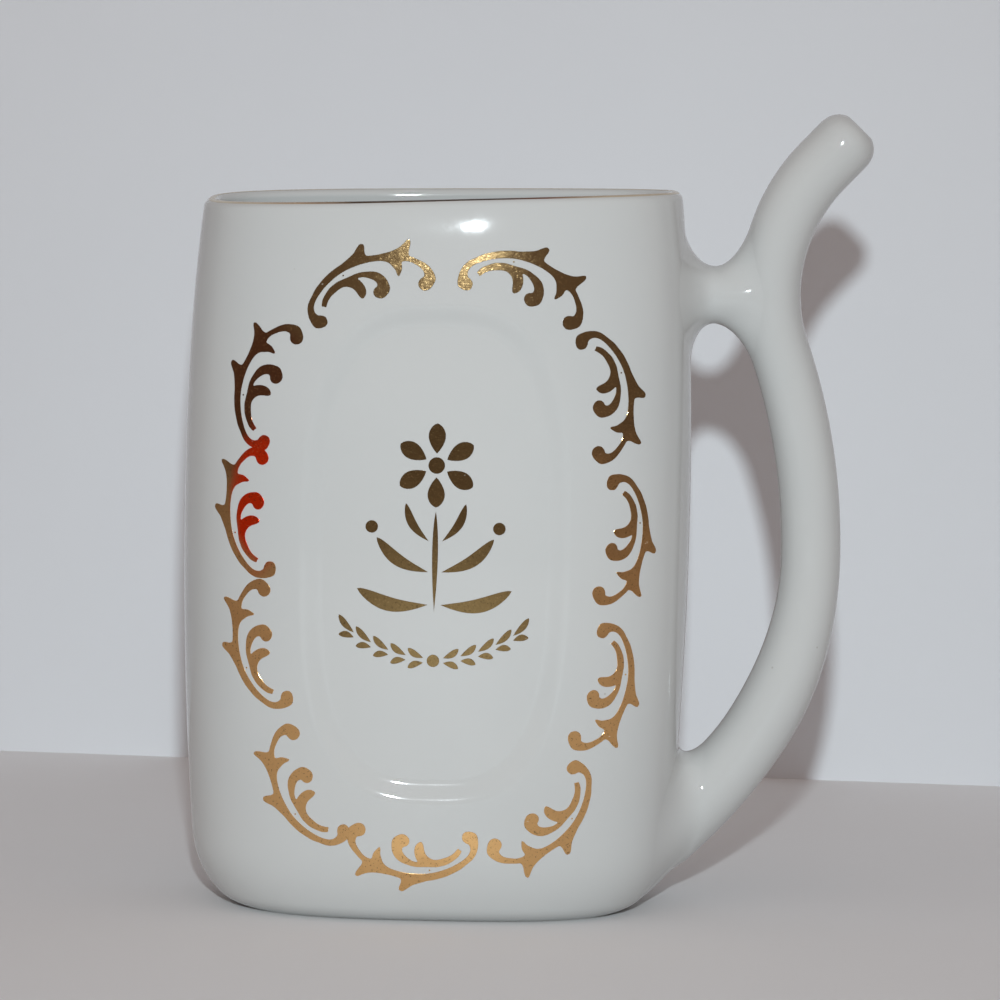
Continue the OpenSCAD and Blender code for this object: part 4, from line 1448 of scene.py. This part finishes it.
@dataclass(frozen=True)
class ScrollMotif:
    """One C-scroll, as the outlines of its stem and of the fork inside its bow.

    The middles of its head and tail balls are at 0 and 1, and it bows upwards.
    """

    length: float = 16.5
    cuts: int = 3
    stem: tuple[float, ...] = (
        -.0885, .002, -.096, .04, -.1, .077, -.0945, .13, -.081, .175, -.053, .22, -.002, .269,
        .05, .317, .103, .351, .17, .389, .238, .416, .302, .436, .35, .447, .4, .464,
        .448, .482, .493, .503, .53, .533, .56, .555, .583, .561, .609, .546, .608, .512,
        .596, .475, .598, .441, .635, .426, .699, .411, .748, .404, .80, .398, .853, .398,
        .902, .404, .95, .422, .98, .437, 1.007, .441, 1.018, .419, 1.01, .392, .992, .362,
        .969, .329, .962, .295, .988, .269, 1.0255, .231, 1.063, .19, 1.093, .145, 1.1095, .1,
        1.117, .055, 1.1155, .017, 1.1, -.013, 1.07, -.039, 1.037, -.058, .999, -.065,
        .962, -.05, .943, -.02, .939, .01, .95, .04, .973, .0585, .9955, .066, 1.018, .0735,
        1.0255, .1, 1.022, .13, 1.003, .167, .98, .197, .954, .227, .92, .25, .89, .261,
        .8755, .257, .8695, .235, .8605, .205, .838, .175, .808, .1485, .793, .167, .793, .212,
        .778, .257, .763, .291, .733, .321, .688, .344, .628, .361, .575, .371, .5, .377,
        .448, .377, .388, .374, .335, .366, .275, .351, .215, .329, .155, .302, .103, .272,
        .05, .235, .013, .201, -.01, .171, -.0225, .137, -.021, .107, -.006, .081, .02, .07,
        .05, .047, .059, .017, .054, -.0165, .0315, -.039, -.002, -.0465, -.036, -.043,
        -.07, -.028,
    )
    fork: tuple[float, ...] = (
        .05, .145, .065, .182, .088, .212, .133, .25, .178, .28, .23, .299, .275, .31,
        .365, .314, .448, .319, .5, .314, .545, .302, .598, .284, .643, .256, .673, .22,
        .694, .175, .701, .13, .699, .085, .684, .055, .662, .036, .635, .021, .605, .0135,
        .572, .021, .542, .047, .532, .077, .538, .107, .56, .13, .587, .141, .594, .164,
        .583, .19, .56, .216, .53, .239, .5, .257, .478, .263, .455, .265, .467, .242,
        .482, .205, .489, .167, .485, .13, .47, .1, .44, .077, .418, .081, .403, .107,
        .392, .152, .38, .182, .362, .205, .335, .224, .302, .235, .26, .231, .215, .216,
        .17, .197, .133, .171, .107, .141, .088, .1185, .069, .13,
    )
    dot: Place = (0.335, 0.341)
    dot_r: float = 0.011
    dot_sides: int = 12

    def outlines(self) -> list[list[Place]]:
        """Lays its outlines.

        Returns:
            The closed lines of the stem, the fork and the dot, in units of its length.
        """
        flats = (self.stem, self.fork)
        lines = [smooth_loop(list(zip(flat[::2], flat[1::2])), self.cuts) for flat in flats]
        around = all_round(self.dot_sides)
        return lines + [[tuple(Vector(self.dot) + polar(self.dot_r, a)) for a in around]]


@dataclass
class Wreath:
    """Eleven scrolls round the panel, open between the first and the second at the top.

    Each row is a scroll's place round the oval in degrees, its distance from the oval's middle
    as a share of the oval's own, and the way that it points from its head to its tail.
    """

    film: Film
    motif: ScrollMotif = field(default_factory=ScrollMotif)
    wreath_side: float = 5.3
    wreath_end: float = 2.8
    wreath_down: float = 1.0
    power: float = 2.78
    rows: tuple[tuple[float, float, float], ...] = (
        (112.1, 0.977, 21.5), (64.8, 0.993, -19.3), (34.8, 0.984, -79.0), (5.5, 0.995, -95.5),
        (-26.2, 0.955, -103.4), (-56.2, 1.0, -134.0), (-95.2, 1.01, 177.7),
        (-128.2, 0.962, 119.3), (-160.9, 0.939, 104.3), (170.6, 0.995, 96.0),
        (145.9, 1.021, 73.7),
    )

    def spot(self, row: tuple[float, float, float], p: Place) -> Place:
        """Returns the place on the face of a point of the motif.

        Args:
            row: the scroll's row.
            p: the point in units of the motif's length.

        Returns:
            The way round the face and the height.
        """
        s = self.film.shape
        round_at, far, way = row
        at = polar(far * reach(round_at, self.power), round_at)
        at.x *= s.panel_w / 2 + self.wreath_side
        at.y = s.panel_z - self.wreath_down + at.y * (s.panel_h / 2 + self.wreath_end)
        length = self.motif.length
        return tuple(at + polar(length * (p[0] - 0.5), way) + polar(length * p[1], way + 90))

    def build(self) -> list[Piece]:
        """Makes the scrolls.

        Returns:
            The eleven pieces.
        """
        outlines = self.motif.outlines()
        made = []
        for k, row in enumerate(self.rows, 1):
            spots = [[self.spot(row, p) for p in line] for line in outlines]
            made.append(self.film.build(spots, 0, f"Scroll_{k}", f"gilt_scroll_{k}"))
        return made


@dataclass
class Posy:
    """The flower, the leaf sprays and the leaf swag on the panel."""

    film: Film
    flower_r: float = 6.4
    flower_up: float = 13.6
    petal_count: int = 6
    petal_w: float = 2.7
    flower_eye_r: float = 1.3
    stem_l: float = 15.5
    stem_w: float = 1.0
    leaf_l: float = 11.0
    leaf_w: float = 2.3
    leaf_bow: float = 1.2
    leaf_pairs: tuple[tuple[float, float, float], ...] = (
        (0.3, 58, 0.62), (0.6, 33, 0.86), (0.92, 12, 1.0),
    )
    bud_r: float = 1.0
    bud_place: Place = (9.6, 4.2)
    swag_w: float = 14.6
    swag_drop: float = 5.4
    swag_down: float = 10.6
    swag_pairs: int = 5
    swag_leaf_w: float = 1.1
    swag_bow: float = 0.2
    berry_r: float = 1.0
    leaf_share: float = 0.92
    swag_splay: float = 1.5
    swag_root: float = 0.35
    mark_gap: float = 0.45
    leaf_cuts: int = 22
    leaf_power: float = 0.8
    dot_sides: int = 30

    def spot(self, p: Vector) -> Place:
        """Returns the place on the face of a place from the panel's middle."""
        return (p.x, p.y + self.film.shape.panel_z)

    def leaf(self, a: Place, b: Place, bow: float, width: float) -> list[Place]:
        """Returns a leaf's outline.

        Args:
            a: its tip.
            b: its root.
            bow: how far it bows sideways.
            width: its greatest width.

        Returns:
            The outline on the face.
        """
        tip, root = Vector(a), Vector(b)
        side = (root - tip).normalized().orthogonal()
        left, right = [], []
        for t in steps(self.leaf_cuts):
            axis = mix(tip, root, t) + side * bow * sin_d(180 * t)
            full = sin_d(180 * t**self.leaf_power) if 0 < t < 1 else 0
            half = width / 2 * full**self.leaf_power
            left.append(self.spot(axis + side * half))
            right.append(self.spot(axis - side * half))
        return left + right[-2:0:-1]

    def dot(self, middle: Sequence[float], r: float) -> list[Place]:
        """Returns a round dot's outline."""
        return [self.spot(Vector(middle) + polar(r, a)) for a in all_round(self.dot_sides)]

    def flower(self) -> list[list[Place]]:
        """Lays the flower.

        Returns:
            The outlines of its eye and its petals.
        """
        middle = Vector((0, self.flower_up))
        marks = [self.dot(middle, self.flower_eye_r)]
        for a in all_round(self.petal_count):
            near = middle + polar(self.flower_eye_r + self.mark_gap, 90 + a)
            marks.append(self.leaf(middle + polar(self.flower_r, 90 + a), near, 0, self.petal_w))
        return marks

    def sprays(self) -> list[list[Place]]:
        """Lays the leaf sprays.

        Returns:
            The outlines of the stem, its leaves and the two buds.
        """
        top = self.flower_up - self.flower_r - self.mark_gap
        marks = [self.leaf((0, top), (0, top - self.stem_l), 0, self.stem_w)]
        for side in (-1, 1):
            for down, rise, size in self.leaf_pairs:
                root = Vector((side * (self.stem_w / 2 + self.mark_gap), top - self.stem_l * down))
                tip = root + self.leaf_l * size * Vector((side * cos_d(rise), sin_d(rise)))
                marks.append(self.leaf(tip, root, self.leaf_bow * size * side, self.leaf_w * size))
            marks.append(self.dot((side * self.bud_place[0], self.bud_place[1]), self.bud_r))
        return marks

    def swag_point(self, s: float, rise: float = 0) -> Vector:
        """Returns a place on the swag's bow, from -1 to 1, raised by a height."""
        return Vector((self.swag_w * s, rise - self.swag_down - self.swag_drop * (1 - s * s)))

    def swag(self) -> list[list[Place]]:
        """Lays the leaf swag.

        Returns:
            The outlines of its berry and its leaves.
        """
        marks = [self.dot(self.swag_point(0), self.berry_r)]
        start = (self.berry_r + self.mark_gap) / self.swag_w
        for i, side, lean in itertools.product(range(self.swag_pairs), (-1, 1), (-1, 1)):
            a = mix(start, 1, i / self.swag_pairs)
            b = mix(start, 1, (i + self.leaf_share) / self.swag_pairs)
            tip = self.swag_point(side * b, self.swag_splay * lean)
            root = self.swag_point(side * a, self.swag_root * lean)
            marks.append(self.leaf(tip, root, self.swag_bow * lean * side, self.swag_leaf_w))
        return marks

    def build(self) -> list[Piece]:
        """Makes the three pieces.

        Returns:
            The flower, the sprays and the swag.
        """
        sink = self.film.shape.panel_sink
        return [
            self.film.build(self.flower(), sink, "Flower", "gilt_flower"),
            self.film.build(self.sprays(), sink, "Leaf_sprays", "gilt_sprays"),
            self.film.build(self.swag(), sink, "Leaf_swag", "gilt_swag"),
        ]


# The surroundings


@dataclass
class Studio:
    """A pale shelf and wall, a soft lamp, the light of the room and the camera."""

    eye: tuple[float, float, float] = (9.6, -750.0, 145.0)
    aim: tuple[float, float, float] = (9.6, 0.0, 62.9)
    roll: float = 1.2
    focal: float = 175.5
    sensor: float = 36.0
    clip: Place = (0.01, 20.0)
    shelf_half: Place = (3.0, 3.0)
    wall_half: Place = (3.0, 1.5)
    wall_y: float = 127.0
    wall_turn: float = -5.2
    shelf: Painted = Painted("Shelf", (0.745, 0.745, 0.75, 1), 0.55, 0.06)
    wall: Painted = Painted("Wall", (0.712, 0.73, 0.758, 1), 0.6, 0.2, True)
    lamp_at: tuple[float, float, float] = (14.0, -755.0, 263.0)
    lamp_aim: tuple[float, float, float] = (9.6, 0.0, 60.0)
    lamp_size: float = 22.0
    lamp_spread: float = 60.0
    lamp_power: float = 0.443
    lamp_colour: tuple[float, float, float] = (0.855, 0.957, 1.0)
    room: Colour = (1.0, 0.815, 0.75, 1)
    room_span: Place = (-0.1, 0.9)
    room_level: float = 0.324
    room_rise: float = 0.11
    room_seen: float = 0.62

    def sheet(self, name: str, half: Place, finish: Painted) -> Piece:
        """Makes a flat sheet of the surroundings.

        Args:
            name: its name.
            half: its half sizes in metres.
            finish: its finish.

        Returns:
            The sheet, lying at the height of the cup's foot.
        """
        bm = bmesh.new()
        bmesh.ops.create_grid(bm, x_segments=2, y_segments=2, size=1)
        bmesh.ops.scale(bm, vec=(half[0] / MM, half[1] / MM, 1), verts=bm.verts[:])
        made = make_object(bm, name, finish.material())
        return made

    def build_stage(self) -> None:
        """Makes the shelf and the wall."""
        self.sheet("Shelf_top", self.shelf_half, self.shelf)
        wall = self.sheet("Back_wall", self.wall_half, self.wall)
        turn = Matrix.Rotation(math.radians(self.wall_turn), 4, "Z")
        turn = turn @ Matrix.Rotation(math.radians(90), 4, "X")
        foot = Matrix.Translation((0, self.wall_y * MM, self.wall_half[1]))
        wall.data.transform(foot @ turn)

    def build_lamp(self) -> None:
        """Adds the lamp, a soft one that shines on the cup."""
        data = bpy.data.lights.new("Key", "AREA")
        data.shape = "DISK"
        data.size = self.lamp_size * MM
        data.spread = math.radians(self.lamp_spread)
        data.energy = self.lamp_power
        data.color = self.lamp_colour
        made = bpy.data.objects.new("Key", data)
        made.location = Vector(self.lamp_at) * MM
        way = Vector(self.lamp_aim) * MM - made.location
        made.rotation_euler = way.to_track_quat("-Z", "Y").to_euler()
        bpy.context.scene.collection.objects.link(made)

    def build_room(self) -> None:
        """Adds the light of the room, darker in front than above."""
        world = bpy.data.worlds.new("Room")
        bpy.context.scene.world = world
        world.use_nodes = True
        g = Graph(world.node_tree)
        up = g.axis(g.add("ShaderNodeTexCoord", out="Generated"), "Z").over(*self.room_span)
        seen = g.add("ShaderNodeLightPath", out="Is Camera Ray")
        level = (up * self.room_rise + self.room_level) * (1 - seen) + seen * self.room_seen
        light = g.add("ShaderNodeBackground", {}, {"Color": self.room, "Strength": level})
        g.finish(light, "ShaderNodeOutputWorld")

    def build_camera(self) -> None:
        """Adds the camera at the picture's viewing angle."""
        data = bpy.data.cameras.new("Camera")
        data.lens = self.focal
        data.sensor_width = self.sensor
        data.clip_start, data.clip_end = self.clip
        camera = bpy.data.objects.new("Camera", data)
        eye, aim = Vector(self.eye) * MM, Vector(self.aim) * MM
        way = (aim - eye).normalized()
        right = way.cross(Vector((0, 0, 1))).normalized()
        up = right.cross(way)
        c, s = cos_d(self.roll), sin_d(self.roll)
        turned = Matrix((c * right + s * up, c * up - s * right, -way)).transposed()
        camera.matrix_world = Matrix.Translation(eye) @ turned.to_4x4()
        bpy.context.scene.collection.objects.link(camera)
        bpy.context.scene.camera = camera

    def build(self) -> None:
        """Makes everything round the cup."""
        self.build_stage()
        self.build_lamp()
        self.build_room()
        self.build_camera()
        bpy.context.scene.view_settings.view_transform = "Standard"


def main() -> None:
    """Builds the cup and its surroundings."""
    logging.basicConfig(level=logging.INFO, format="%(name)s: %(message)s")
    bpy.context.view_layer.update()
    porcelain = Porcelain().material()
    gold = Gilding().material("Gilding")
    # The posy's duller gold, with its own colour for the painted dark reflection.
    dull = Gilding(ochre=(0.34, 0.235, 0.10, 1), dark_reflection_bronze=(0.15, 0.10, 0.045, 1))
    shape = CupShape()
    tube = DrinkingTube(shape)
    CupBody(shape).build(porcelain, tube.port())
    tube.build(porcelain)
    Bridge(shape, tube).build(porcelain)
    RimLine(shape).build(LineGilding().material())
    Wreath(Film(shape, gold)).build()
    Posy(Film(shape, dull.material("Dull gilding"))).build()
    Studio().build()


if __name__ == "__main__":
    main()
